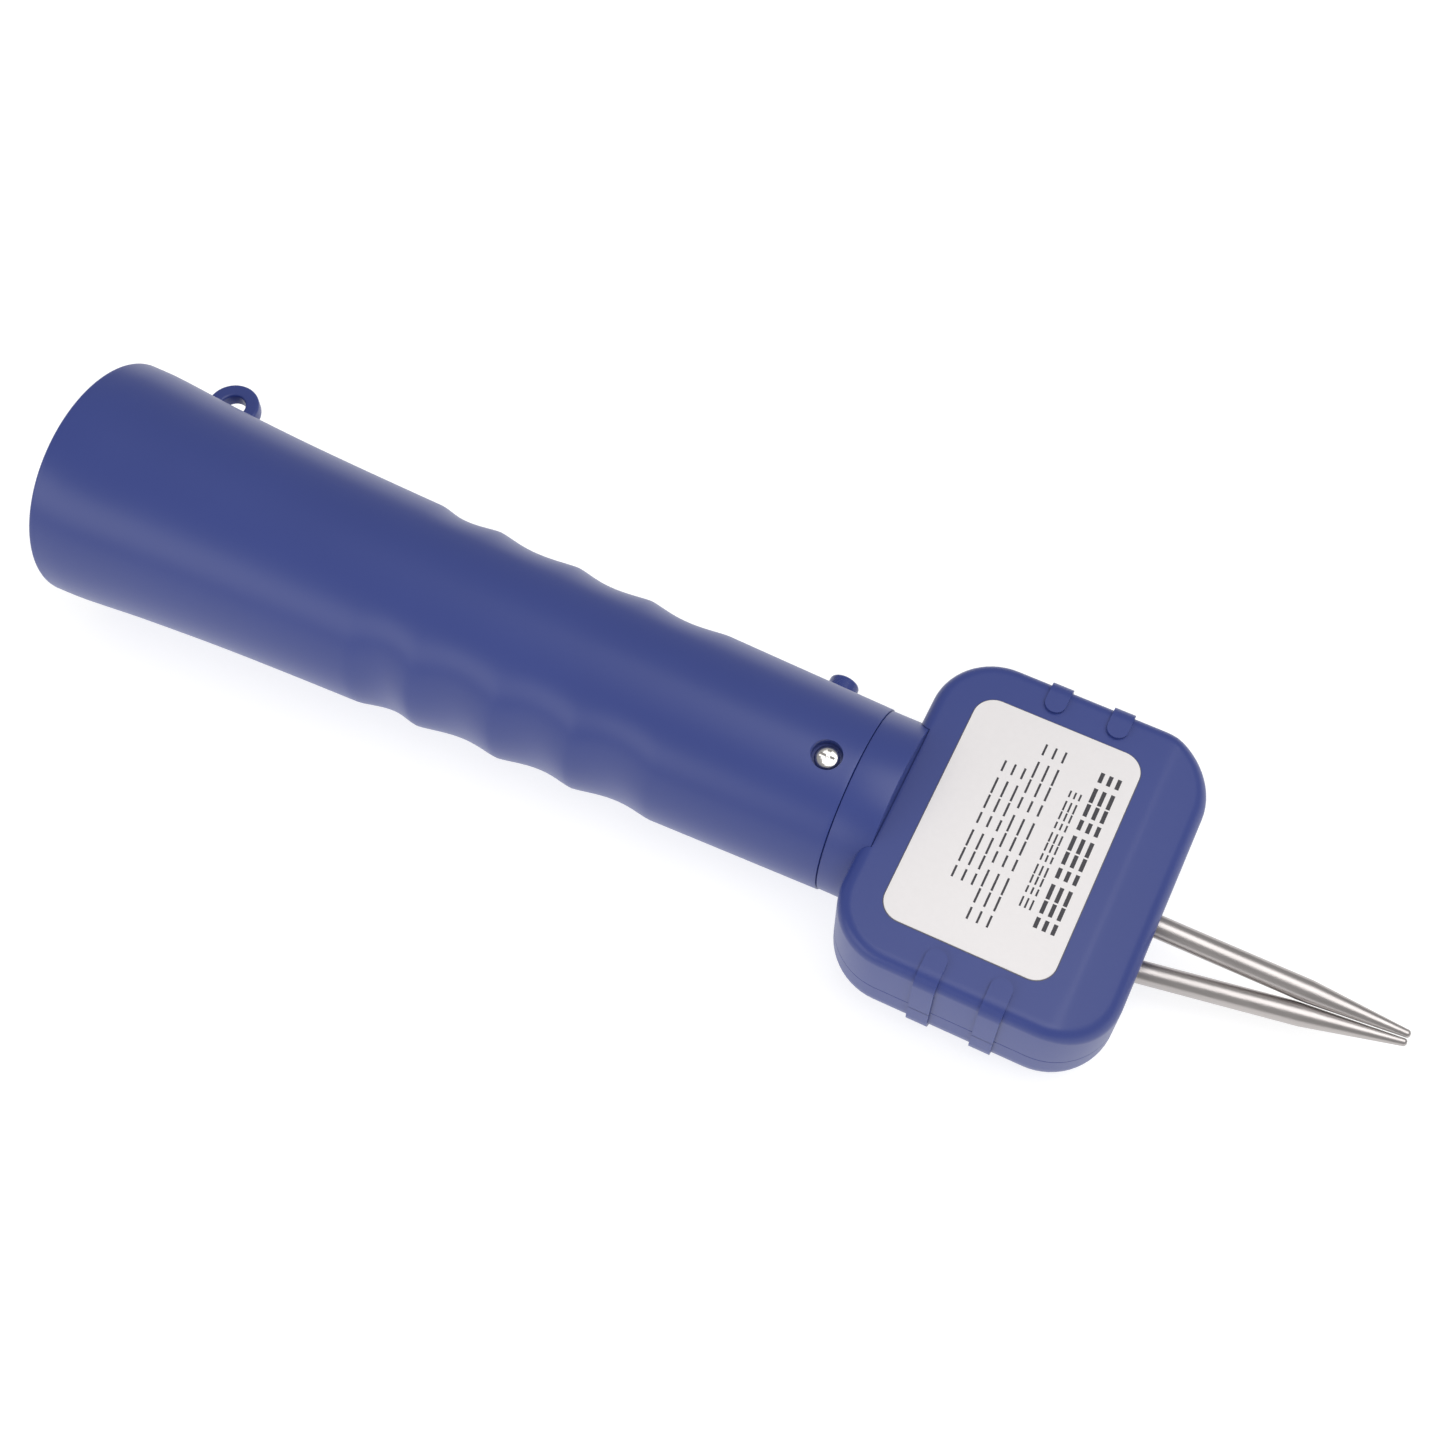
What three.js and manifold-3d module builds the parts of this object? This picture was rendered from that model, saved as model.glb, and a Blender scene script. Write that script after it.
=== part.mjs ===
// Rechargeable plucking tweezers: a long flared handle with the cells, the motor and a push button,
// a turned neck collar, and a flat box head with two steel jaws.
//
// Millimetres. The tool lies along X with its jaws towards +X, its label faces +Z, and its button and
// lanyard loop are on the +Y side. x = 0 is the seam between handle and collar, y = z = 0 the tool axis.

import * as THREE from 'three';
import { mergeVertices } from 'three/addons/utils/BufferGeometryUtils.js';
import Module from 'manifold-3d';

const wasm = await Module();
wasm.setup();

// ---------------------------------------------------------------- driving dimensions

const FIT = 0.3;                    // working gap between neighbouring pieces
const LABEL = { length: 40, width: 60, corner: 5, thickness: 0.2, centreX: 37.3 };

const HANDLE = {
  back: -207.6,                     // flat end of the handle
  // outer radius at a few stations along the axis, smoothed between them
  stations: [[0, 22.6], [-47, 23.75], [-110, 25.7], [-155, 27.2], [-182, 28.8], [-200, 30.3], [-207.6, 30.5]],
  edge: 0.8,
  boreFront: 18.9,
  sides: 36,
};
const GRIP = { edges: [-121.6, -105, -83.4, -63.5, -42.8], depth: 1.9, halfAngle: 65 };
const LOOP = { x: -190, y: 31.95, outer: 6.75, hole: 3.25, thickness: 4 };

const COLLAR = { back: FIT, front: 10, radius: 22.2, spigotBack: -22, spigotRadius: 18.6, spigotBore: 16.6 };
const NECK = { radius: 10.8, bore: 9.4, flangeRadius: 12.5, flangeBack: 13.1, flangeFront: 15.6 };

const HEAD = {
  back: 7.5, front: 73.5, halfWidth: 40.4, corner: 15,
  top: 15.4, bottom: -15.6, wall: 2.5, topEdge: 3, bottomEdge: 11,
  foldX: 62, noseTop: 11.6, partingGap: 0.2,
};
const RIB = { stations: [33.4, 48.5], width: 5, height: 0.8, innerEnd: 32.3 };
const POST = { x: [21.5, 60.5], y: 27.5, rearRadius: 4.8, frontRadius: 3.5 };

const BUTTON = { x: -15, radius: 3.7, top: 27.3, flangeRadius: 4.8, flangeBottom: 17, flangeTop: 18 };
const NECK_SCREW = { x: -7, angle: 8, seat: 19.95, head: 2.9, headHeight: 1.2, sink: 3.6 };

const CELL = { radius: 9.2, back: -186, front: -121, spacing: 10.8 };
const MOTOR = { radius: 12.2, back: -47, front: -16.3 };
const GEARBOX = { radius: 12.5, back: -16, front: 5 };
const MOTOR_SCREW = { reach: 6.6, head: 2.4, seat: 8.6 };
const SHAFT = { radius: 2, back: 0.5, front: 30.5 };
const CAM = { radius: 4.5, offset: 1, back: 24, front: 31 };

const TILT = THREE.MathUtils.degToRad(30);     // the jaws' plane is turned this much about the tool axis
const JAW = { radius: 2.71, tipRadius: 1, tipX: 132, taper: 23, fixedY: 0.6, gapAtTip: 1.8, spread: 0.158 };
const PIVOT = { x: 46, y: -11, radius: 2, bottom: -6.6, top: 12 };
const SWING = THREE.MathUtils.degToRad(5);     // opening of the moving jaw
const BLOCK = { back: 33, front: 68, left: -22, right: 10, halfHeight: 12.6 };

// ---------------------------------------------------------------- materials

function finish(colour, roughness, metalness = 0) {
  return new THREE.MeshStandardMaterial({ color: colour, roughness, metalness });
}

const bluePlastic = finish(0x46529a, 0.42);
const blueButton = finish(0x4a58a6, 0.35);
const labelPaper = finish(0xf5f1f0, 0.55);
const blackPlastic = finish(0x202226, 0.5);
const clearLens = finish(0xd8e6dc, 0.15);
const cellWrap = finish(0x2f8f6a, 0.35);
const boardGreen = finish(0x1f6b3c, 0.45);
const steel = finish(0xb0a6a3, 0.25, 1);
const screwSteel = finish(0xc4c2bf, 0.3, 1);
const motorSteel = finish(0x9a9c9e, 0.35, 1);
const castAlloy = finish(0x8d8f92, 0.5, 0.9);
const redLead = finish(0xb3261e, 0.45);
const blackLead = finish(0x1c1c1e, 0.5);

// ---------------------------------------------------------------- solids

function signedVolume(points, faces) {
  const [a, b, c] = [new THREE.Vector3(), new THREE.Vector3(), new THREE.Vector3()];
  let volume = 0;
  for (let i = 0; i < faces.length; i += 3) {
    a.fromArray(points, 3 * faces[i]);
    b.fromArray(points, 3 * faces[i + 1]);
    c.fromArray(points, 3 * faces[i + 2]);
    volume += a.dot(b.cross(c)) / 6;
  }
  return volume;
}

// A closed geometry as a solid: vertices merged, faces without area dropped, faces pointing out.
function solid(geometry) {
  if (geometry instanceof wasm.Manifold) {
    return geometry;
  }
  const plain = geometry.clone();
  plain.deleteAttribute('normal');
  plain.deleteAttribute('uv');
  const welded = mergeVertices(plain, 1e-4);
  const points = new Float32Array(welded.attributes.position.array);
  const faces = [];
  const index = welded.index.array;
  for (let i = 0; i < index.length; i += 3) {
    const [a, b, c] = [index[i], index[i + 1], index[i + 2]];
    if (a !== b && b !== c && c !== a) {
      faces.push(a, b, c);
    }
  }
  if (signedVolume(points, faces) < 0) {
    for (let i = 0; i < faces.length; i += 3) {
      [faces[i + 1], faces[i + 2]] = [faces[i + 2], faces[i + 1]];
    }
  }
  return new wasm.Manifold(new wasm.Mesh({
    numProp: 3, vertProperties: points, triVerts: new Uint32Array(faces),
  }));
}

function join(...pieces) {
  return pieces.map(solid).reduce((whole, piece) => whole.add(piece));
}

function cut(base, ...tools) {
  return tools.map(solid).reduce((rest, tool) => rest.subtract(tool), solid(base));
}

function common(first, second) {
  return solid(first).intersect(solid(second));
}

function surfaceOf(shape) {
  const { vertProperties, triVerts } = solid(shape).getMesh();
  const geometry = new THREE.BufferGeometry();
  geometry.setAttribute('position', new THREE.BufferAttribute(new Float32Array(vertProperties), 3));
  geometry.setIndex(new THREE.BufferAttribute(new Uint32Array(triVerts), 1));
  geometry.computeVertexNormals();
  return geometry;
}

function addPart(group, name, material, shape) {
  const mesh = new THREE.Mesh(surfaceOf(shape), material);
  mesh.name = name;
  group.add(mesh);
  return mesh;
}

// ---------------------------------------------------------------- basic shapes

function box(x0, x1, y0, y1, z0, z1) {
  const geometry = new THREE.BoxGeometry(x1 - x0, y1 - y0, z1 - z0);
  return geometry.translate((x0 + x1) / 2, (y0 + y1) / 2, (z0 + z1) / 2);
}

// A round bar between two points, tapered when a second radius is given.
function bar(from, to, radius, sides = 16, endRadius = radius) {
  const start = new THREE.Vector3(...from);
  const end = new THREE.Vector3(...to);
  const along = end.clone().sub(start);
  const geometry = new THREE.CylinderGeometry(endRadius, radius, along.length(), sides);
  const turn = new THREE.Quaternion().setFromUnitVectors(new THREE.Vector3(0, 1, 0), along.normalize());
  const middle = start.add(end).multiplyScalar(0.5);
  return geometry.applyQuaternion(turn).translate(middle.x, middle.y, middle.z);
}

// A bar along the tool axis.
function axial(x0, x1, radius, y = 0, z = 0, sides = 16) {
  return bar([x0, y, z], [x1, y, z], radius, sides);
}

// A turned shape about the X axis from [x, radius] points.
function turned(profile, sides) {
  const points = profile.map(([x, radius]) => new THREE.Vector2(radius, x));
  return new THREE.LatheGeometry(points, sides).rotateZ(-Math.PI / 2);
}

function roundedRectangle(x0, x1, halfWidth, corner) {
  const shape = new THREE.Shape();
  shape.moveTo(x0 + corner, -halfWidth);
  shape.lineTo(x1 - corner, -halfWidth);
  shape.absarc(x1 - corner, -halfWidth + corner, corner, -Math.PI / 2, 0);
  shape.lineTo(x1, halfWidth - corner);
  shape.absarc(x1 - corner, halfWidth - corner, corner, 0, Math.PI / 2);
  shape.lineTo(x0 + corner, halfWidth);
  shape.absarc(x0 + corner, halfWidth - corner, corner, Math.PI / 2, Math.PI);
  shape.lineTo(x0, -halfWidth + corner);
  shape.absarc(x0 + corner, -halfWidth + corner, corner, Math.PI, 1.5 * Math.PI);
  return shape;
}

// The head's plan outline pulled in by `inset`, raised from z0 to z1, with rounded edges.
function headPlate(inset, z0, z1, edge) {
  const shrink = inset + edge;
  const outline = roundedRectangle(
    HEAD.back + shrink, HEAD.front - shrink, HEAD.halfWidth - shrink, HEAD.corner - shrink);
  const geometry = new THREE.ExtrudeGeometry(outline, {
    depth: z1 - z0 - 2 * edge, curveSegments: 6,
    bevelEnabled: true, bevelSize: edge, bevelThickness: edge, bevelSegments: Math.ceil(edge / 2),
  });
  return geometry.translate(0, 0, z0 + edge);
}

// A tube along a smooth curve through the given points.
function lead(points, radius) {
  const curve = new THREE.CatmullRomCurve3(points.map((point) => new THREE.Vector3(...point)));
  const section = new THREE.Shape();
  const sides = 6;
  for (let i = 0; i < sides; i += 1) {
    const angle = 2 * Math.PI * i / sides;
    const [u, v] = [radius * Math.cos(angle), radius * Math.sin(angle)];
    if (i === 0) {
      section.moveTo(u, v);
    } else {
      section.lineTo(u, v);
    }
  }
  return new THREE.ExtrudeGeometry(section, { extrudePath: curve, steps: 12, bevelEnabled: false });
}

// A pan-head screw on the Z axis: the head sits on z = 0 and the shank goes down from it.
function panScrew(headRadius, headHeight, shankLength, shankRadius = 1.5) {
  const profile = [
    [-shankLength, 0], [-shankLength, shankRadius], [0, shankRadius], [0, headRadius],
    [0.55 * headHeight, headRadius], [headHeight, 0.6 * headRadius], [headHeight, 0],
  ];
  const points = profile.map(([z, radius]) => new THREE.Vector2(radius, z));
  const body = new THREE.LatheGeometry(points, 12).rotateX(Math.PI / 2);
  const [slot, reach, floor] = [0.45, 0.58 * headRadius, 0.35 * headHeight];
  const recess = join(
    box(-slot, slot, -reach, reach, floor, headHeight + 1),
    box(-reach, reach, -slot, slot, floor, headHeight + 1));
  return cut(body, recess);
}

// A headless set screw between two points, with a small driver hole in its outer end.
function grubScrew(inner, outer, radius) {
  const middle = new THREE.Vector3(...inner).lerp(new THREE.Vector3(...outer), 0.55).toArray();
  const past = new THREE.Vector3(...inner).lerp(new THREE.Vector3(...outer), 1.2).toArray();
  return cut(bar(inner, outer, radius, 12), bar(middle, past, 0.5 * radius, 6));
}

// ---------------------------------------------------------------- handle

// Outer radius of the handle: a smooth cubic through the stations.
function handleRadius(x) {
  const rows = HANDLE.stations;
  const last = rows.length - 1;
  const i = Math.min(Math.max(rows.findIndex(([station]) => station <= x) - 1, 0), last - 1);
  const slope = (k) => {
    const [before, after] = [rows[Math.max(k - 1, 0)], rows[Math.min(k + 1, last)]];
    return (after[1] - before[1]) / (after[0] - before[0]);
  };
  const [[x0, r0], [x1, r1]] = [rows[i], rows[i + 1]];
  const span = x1 - x0;
  const t = (x - x0) / span;
  const ease = t * t * (3 - 2 * t);
  const [m0, m1] = [slope(i) * span, slope(i + 1) * span];
  return r0 + (r1 - r0) * ease + m0 * t * (1 - t) ** 2 - m1 * t * t * (1 - t);
}

// How far a finger groove goes in at a place along the handle and an angle from the Y axis.
function grooveDepth(x, angle) {
  const next = GRIP.edges.findIndex((edge) => edge > x);
  const off = Math.abs(angle) / THREE.MathUtils.degToRad(GRIP.halfAngle);
  if (next < 1 || off >= 1) {
    return 0;
  }
  const [start, end] = [GRIP.edges[next - 1], GRIP.edges[next]];
  const along = Math.sin(Math.PI * (x - start) / (end - start));
  return GRIP.depth * along * Math.cos(off * Math.PI / 2) ** 2;
}

function handleStationsX() {
  const places = [HANDLE.back + HANDLE.edge, -203, -198, -190, -180, -168, -152, -136];
  for (let i = 1; i < GRIP.edges.length; i += 1) {
    const [start, end] = [GRIP.edges[i - 1], GRIP.edges[i]];
    for (const share of [0, 0.17, 0.5, 0.83]) {
      places.push(start + share * (end - start));
    }
  }
  places.push(GRIP.edges.at(-1), -22, -0.4);
  return places;
}

function handleOuter() {
  const profile = [[HANDLE.back, 0], [HANDLE.back, handleRadius(HANDLE.back) - HANDLE.edge]];
  for (const x of handleStationsX()) {
    profile.push([x, handleRadius(x)]);
  }
  profile.push([0, handleRadius(0) - 0.4], [0, 0]);
  const geometry = turned(profile, HANDLE.sides);
  const place = geometry.attributes.position;
  for (let i = 0; i < place.count; i += 1) {
    const [x, y, z] = [place.getX(i), place.getY(i), place.getZ(i)];
    const radius = Math.hypot(y, z);
    const depth = radius > 1 ? grooveDepth(x, Math.atan2(z, Math.abs(y))) : 0;
    place.setY(i, y * (1 - depth / Math.max(radius, 1)));
    place.setZ(i, z * (1 - depth / Math.max(radius, 1)));
  }
  return geometry;
}

function handleBore() {
  return turned([
    [HANDLE.back - 1, 0], [HANDLE.back - 1, 27.5], [-204.1, 27.5], [-204.1, 26.2], [-196, 26.2],
    [-190, 25.6], [-121, 22], [-45, 19.6], [-24, 19.3], [-24, HANDLE.boreFront],
    [1, HANDLE.boreFront], [1, 0],
  ], HANDLE.sides);
}

// A bar from the tool axis outwards at the neck screw's angle; `side` is 1 for the label side, -1 for the rear.
function neckScrewBar(side, from, to, radius) {
  const angle = THREE.MathUtils.degToRad(NECK_SCREW.angle);
  const direction = [0, -side * Math.sin(angle), side * Math.cos(angle)];
  const at = (reach) => [NECK_SCREW.x, reach * direction[1], reach * direction[2]];
  return bar(at(from), at(to), radius, 16);
}

function addHandle(tool) {
  const tools = [handleBore(), bar([BUTTON.x, 10, 0], [BUTTON.x, 30, 0], BUTTON.radius + FIT)];
  for (const side of [1, -1]) {
    tools.push(neckScrewBar(side, NECK_SCREW.seat, 30, NECK_SCREW.sink));
    tools.push(neckScrewBar(side, 12, 30, 1.8));
  }
  addPart(tool, 'handle_tube', bluePlastic, cut(handleOuter(), ...tools));

  const half = LOOP.thickness / 2;
  const ring = bar([LOOP.x, LOOP.y, -half], [LOOP.x, LOOP.y, half], LOOP.outer, 24);
  const hole = bar([LOOP.x, LOOP.y, -half - 1], [LOOP.x, LOOP.y, half + 1], LOOP.hole, 16);
  const rim = 0.1;
  const [behind, ahead] = [LOOP.x - 8, LOOP.x + 8];
  const wall = bar([behind, 0, 0], [ahead, 0, 0],
    handleRadius(behind) + rim, HANDLE.sides, handleRadius(ahead) + rim);
  addPart(tool, 'lanyard_loop', bluePlastic, cut(ring, hole, wall));
}

function addButt(tool) {
  const outerFace = HANDLE.back + 0.6;
  const [lensY, socketHole, lensHole] = [12, 4.5, 1.8];
  const cap = turned([
    [outerFace, 0], [outerFace, 26.8], [outerFace + 0.4, 27.2], [-204.4, 27.2], [-204.4, 25.9],
    [-198, 25.9], [-198, 23.9], [-204.4, 23.9], [-204.4, 0],
  ], HANDLE.sides);
  addPart(tool, 'butt_cap', bluePlastic, cut(
    cap, axial(-210, -190, socketHole), axial(-210, -190, lensHole, lensY)));
  const socket = cut(axial(outerFace, -194, 4.2), axial(-210, -197, 2.75));
  addPart(tool, 'charge_socket', blackPlastic, join(socket, axial(-205, -196, 0.95, 0, 0, 12)));
  addPart(tool, 'charge_lens', clearLens, axial(outerFace, -203, 1.5, lensY, 0, 16));
}

// ---------------------------------------------------------------- power

function cellPlace(number) {
  const angle = Math.PI / 2 + (number - 1) * 2 * Math.PI / 3;
  return [CELL.spacing * Math.cos(angle), CELL.spacing * Math.sin(angle)];
}

function addCells(tool) {
  const holes = (x0, x1) => [
    ...[1, 2, 3].map((number) => axial(x0, x1, 4, ...cellPlace(number), 12)),
    axial(x0, x1, 1.4),
  ];
  for (const number of [1, 2, 3]) {
    const [y, z] = cellPlace(number);
    const cap = axial(CELL.front - 0.1, CELL.front + 1.2, 2.8, y, z, 12);
    addPart(tool, `battery_cell_${number}`, cellWrap, join(
      axial(CELL.back, CELL.front, CELL.radius - 0.1, y, z, 20), cap));
  }
  addPart(tool, 'cell_spacer_front', blackPlastic, cut(
    axial(CELL.front + 0.4, CELL.front + 3.4, 21.4, 0, 0, 24), ...holes(-122, -116)));
  addPart(tool, 'cell_spacer_rear', blackPlastic, cut(
    axial(CELL.back - 4, CELL.back - 0.4, 25, 0, 0, 24), ...holes(-192, -185)));
}

function addDrive(tool) {
  const screwHoles = [1, -1].map((side) => axial(0.5, 6, 1.8, 0, side * MOTOR_SCREW.reach, 12));
  addPart(tool, 'motor_can', motorSteel, join(
    axial(MOTOR.back, MOTOR.front, MOTOR.radius, 0, 0, 24), axial(MOTOR.back - 1.5, MOTOR.back + 1, 4)));
  addPart(tool, 'gearbox', castAlloy, cut(
    axial(GEARBOX.back, GEARBOX.front, GEARBOX.radius, 0, 0, 24), axial(0, 6, 2.6), ...screwHoles));
  [1, -1].forEach((side, i) => {
    const screw = addPart(tool, `motor_screw_${i + 1}`, screwSteel, panScrew(MOTOR_SCREW.head, 1.8, 7));
    screw.rotation.y = Math.PI / 2;
    screw.position.set(MOTOR_SCREW.seat, 0, side * MOTOR_SCREW.reach);
  });
}

function addControls(tool) {
  const [boardBottom, boardTop] = [13.4, 14.6];
  addPart(tool, 'control_board', boardGreen, box(-46, -2, boardBottom, boardTop, -5.5, 5.5));
  addPart(tool, 'tact_switch', blackPlastic, join(
    box(BUTTON.x - 3, BUTTON.x + 3, boardTop + 0.05, boardTop + 1, -3, 3),
    bar([BUTTON.x, boardTop + 0.5, 0], [BUTTON.x, 16, 0], 1.6, 16)));
  const stalk = [
    [BUTTON.flangeBottom, 0], [BUTTON.flangeBottom, BUTTON.flangeRadius],
    [BUTTON.flangeTop, BUTTON.flangeRadius], [BUTTON.flangeTop, BUTTON.radius],
    [BUTTON.top - 0.9, BUTTON.radius], [BUTTON.top - 0.3, BUTTON.radius - 0.3],
    [BUTTON.top, BUTTON.radius - 0.9], [BUTTON.top, 0],
  ];
  const points = stalk.map(([y, radius]) => new THREE.Vector2(radius, y));
  const button = new THREE.LatheGeometry(points, 20).translate(BUTTON.x, 0, 0);
  addPart(tool, 'power_button', blueButton, button);
}

function addLeads(tool) {
  const boardEnd = -46.5;
  const boardY = 14;
  const wire = 0.7;
  addPart(tool, 'battery_lead_red', redLead, lead(
    [[-119, 0, 10.8], [-108, 1, 11], [-88, 6, 10], [-66, 11, 6], [boardEnd, boardY, 3]], wire));
  addPart(tool, 'battery_lead_black', blackLead, lead(
    [[-119, 9.4, -5.4], [-104, 10, -7], [-80, 12, -8], [-62, 13, -7], [boardEnd, boardY, -3.6]], wire));
  addPart(tool, 'charge_lead', blackLead, lead([
    [-193.6, 0, 0], [-150, 0, 0], [-118, 0, 0], [-98, 0, 4],
    [-76, 2, 15], [-58, 10, 12], [boardEnd, boardY, 5]], wire));
  for (const [name, side, material] of [['red', 1, redLead], ['black', -1, blackLead]]) {
    addPart(tool, `motor_lead_${name}`, material, lead([
      [MOTOR.back - 0.5, 7, side], [-51, 8, side], [-52.5, 11, side],
      [-50.5, 13.6, side], [boardEnd, boardY, side]], wire));
  }
}

// ---------------------------------------------------------------- collar

function addCollar(tool) {
  const profile = [
    [COLLAR.spigotBack, COLLAR.spigotBore], [COLLAR.spigotBack, COLLAR.spigotRadius],
    [COLLAR.back, COLLAR.spigotRadius], [COLLAR.back, COLLAR.radius - 0.3],
    [COLLAR.back + 0.3, COLLAR.radius], [COLLAR.front - 0.5, COLLAR.radius - 0.3],
    [COLLAR.front, COLLAR.radius - 0.8], [COLLAR.front, NECK.radius], [NECK.flangeBack, NECK.radius],
    [NECK.flangeBack, NECK.flangeRadius], [NECK.flangeFront, NECK.flangeRadius],
    [NECK.flangeFront, NECK.bore], [8.3, NECK.bore], [8.3, 3.8], [5.3, 3.8], [5.3, COLLAR.spigotBore],
    [COLLAR.spigotBack, COLLAR.spigotBore],
  ];
  const holes = [1, -1].map((side) => axial(4, 9, 1.8, 0, MOTOR_SCREW.reach * side, 12));
  holes.push(bar([BUTTON.x, 10, 0], [BUTTON.x, 20, 0], BUTTON.flangeRadius + 0.4));
  holes.push(neckScrewBar(1, 12, 20, 1.8), neckScrewBar(-1, 12, 20, 1.8));
  addPart(tool, 'neck_collar', bluePlastic, cut(turned(profile, HANDLE.sides), ...holes));
  for (const [name, halfTurns] of [['front', 0], ['rear', 1]]) {
    const holder = new THREE.Group();
    holder.rotation.x = THREE.MathUtils.degToRad(NECK_SCREW.angle) + halfTurns * Math.PI;
    tool.add(holder);
    const screw = addPart(holder, `neck_screw_${name}`, screwSteel, panScrew(
      NECK_SCREW.head, NECK_SCREW.headHeight, 4.6));
    screw.position.set(NECK_SCREW.x, 0, NECK_SCREW.seat + 0.15);
  }
}

// ---------------------------------------------------------------- head

// Everything above the sloping nose, lowered by `below` for the inside of the wall.
function noseCutter(below) {
  const slope = Math.atan2(HEAD.top - HEAD.noseTop, HEAD.front - HEAD.foldX);
  return box(0, 40, -60, 60, 0, 20).rotateY(slope)
    .translate(HEAD.foldX - below * Math.tan(slope / 2), 0, HEAD.top - below);
}

// The head's outer form grown by `grow`, or shrunk when negative: soft front edge, round rear edge.
function headBody(grow) {
  const upper = common(
    headPlate(-grow, -40, HEAD.top + grow, HEAD.topEdge + grow), box(0, 80, -50, 50, -1, 30));
  const lower = common(
    headPlate(-grow, HEAD.bottom - grow, 40, HEAD.bottomEdge + grow), box(0, 80, -50, 50, -30, -0.5));
  return cut(join(upper, lower), noseCutter(-grow));
}

function headRibs() {
  const bands = [];
  for (const x of RIB.stations) {
    for (const side of [1, -1]) {
      const start = side * (RIB.innerEnd + RIB.width / 2);
      const [low, high] = [Math.min(start, side * 45), Math.max(start, side * 45)];
      const width = RIB.width / 2;
      bands.push(box(x - width, x + width, low, high, -20, 20));
      bands.push(bar([x, start, -20], [x, start, 20], width, 12));
    }
  }
  return common(join(...bands), headBody(RIB.height));
}

function headShell() {
  const wallInside = COLLAR.front + FIT + HEAD.wall;
  const cavity = cut(
    headBody(-HEAD.wall), axial(0, wallInside, COLLAR.radius + 3, 0, 0, HANDLE.sides));
  return cut(
    join(headBody(0), headRibs()), cavity,
    axial(wallInside, NECK.flangeFront + FIT, NECK.flangeRadius + FIT, 0, 0, 24),
    axial(-5, COLLAR.front + FIT, COLLAR.radius + FIT, 0, 0, HANDLE.sides),
    axial(5, 14, NECK.radius + FIT, 0, 0, 24), ...jawSlots());
}

// A low wall across the head that stops the jaw block from sliding; x is the wall's rear side.
function blockStop(x, z0, z1) {
  return box(x, x + 1.6, BLOCK.left + 2, BLOCK.right - 2, z0, z1);
}

function addHead(tool) {
  const shell = headShell();
  const [inTop, inBottom] = [HEAD.top - HEAD.wall, HEAD.bottom + HEAD.wall];
  const places = POST.x.flatMap((x) => [[x, POST.y], [x, -POST.y]]);
  const posts = (radius, z0, z1) => places.map(([x, y]) => bar([x, y, z0], [x, y, z1], radius, 12));
  const seat = HEAD.bottom + 3;

  const top = common(shell, box(0, 80, -50, 50, 0, 30));
  addPart(tool, 'front_cover', bluePlastic, cut(
    join(top, ...posts(POST.frontRadius, 0, inTop + 0.5)), ...posts(1.8, -1, 9)));

  const bottom = common(shell, box(0, 80, -50, 50, -30, -HEAD.partingGap));
  addPart(tool, 'rear_cover', bluePlastic, cut(
    join(bottom, ...posts(POST.rearRadius, inBottom - 0.5, -HEAD.partingGap),
      blockStop(BLOCK.back - 2, inBottom - 0.5, inBottom + 1.7),
      blockStop(BLOCK.front + 0.4, inBottom - 0.5, inBottom + 1.7)),
    ...posts(1.8, -20, 1), ...posts(3.1, -20, seat)));

  places.forEach(([x, y], i) => {
    const screw = addPart(tool, `cover_screw_${i + 1}`, screwSteel, panScrew(2.8, 1.8, 18));
    screw.rotation.x = Math.PI;
    screw.position.set(x, y, seat - 0.1);
  });

  const outline = roundedRectangle(
    LABEL.centreX - LABEL.length / 2, LABEL.centreX + LABEL.length / 2, LABEL.width / 2, LABEL.corner);
  const label = new THREE.ExtrudeGeometry(outline, {
    depth: LABEL.thickness, bevelEnabled: false, curveSegments: 4,
  });
  addPart(tool, 'label', labelPaper, label.translate(0, 0, HEAD.top + 0.05));
}

// ---------------------------------------------------------------- jaws and their drive

// The shapes below lie in the jaws' own plane: y is the way the jaws open, z their pivot's direction.

// Height of the moving jaw's axis at a place along the tool, with the jaws closed.
function movingJawY(x) {
  return JAW.fixedY - JAW.gapAtTip - JAW.spread * (JAW.tipX - x);
}

function tilted(geometry) {
  return geometry.rotateX(TILT);
}

// Openings for both jaws in the head's end wall; the moving jaw's is long enough for its swing.
function jawSlots() {
  const slots = [tilted(axial(70.2, 76, JAW.radius + 0.35, JAW.fixedY))];
  for (const share of [0, 1 / 3, 2 / 3, 1]) {
    const rod = bar([64, movingJawY(64), 0], [78, movingJawY(78), 0], JAW.radius + 0.4);
    rod.translate(-PIVOT.x, -PIVOT.y, 0).rotateZ(-share * SWING).translate(PIVOT.x, PIVOT.y, 0);
    slots.push(tilted(rod));
  }
  return slots;
}

// A jaw with its tip at the origin, pointing along +X: a plain bar with a long ground taper.
function jawBlank(length) {
  return turned([
    [-length, 0], [-length, JAW.radius - 0.4], [-length + 0.4, JAW.radius], [-JAW.taper, JAW.radius],
    [-0.6, JAW.tipRadius], [0, 0.55 * JAW.tipRadius], [0, 0],
  ], 20);
}

// Everything on one side of the plane where the closed jaws meet; `side` is the side removed.
function meetingCutter(side) {
  const slope = Math.atan(JAW.spread / 2);
  const [near, far] = [side * FIT / 2, side * -20];
  const slab = box(-60, 5, Math.min(near, far), Math.max(near, far), -5, 5);
  return slab.rotateZ(slope).translate(JAW.tipX, JAW.fixedY - JAW.gapAtTip / 2, 0);
}

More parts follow.
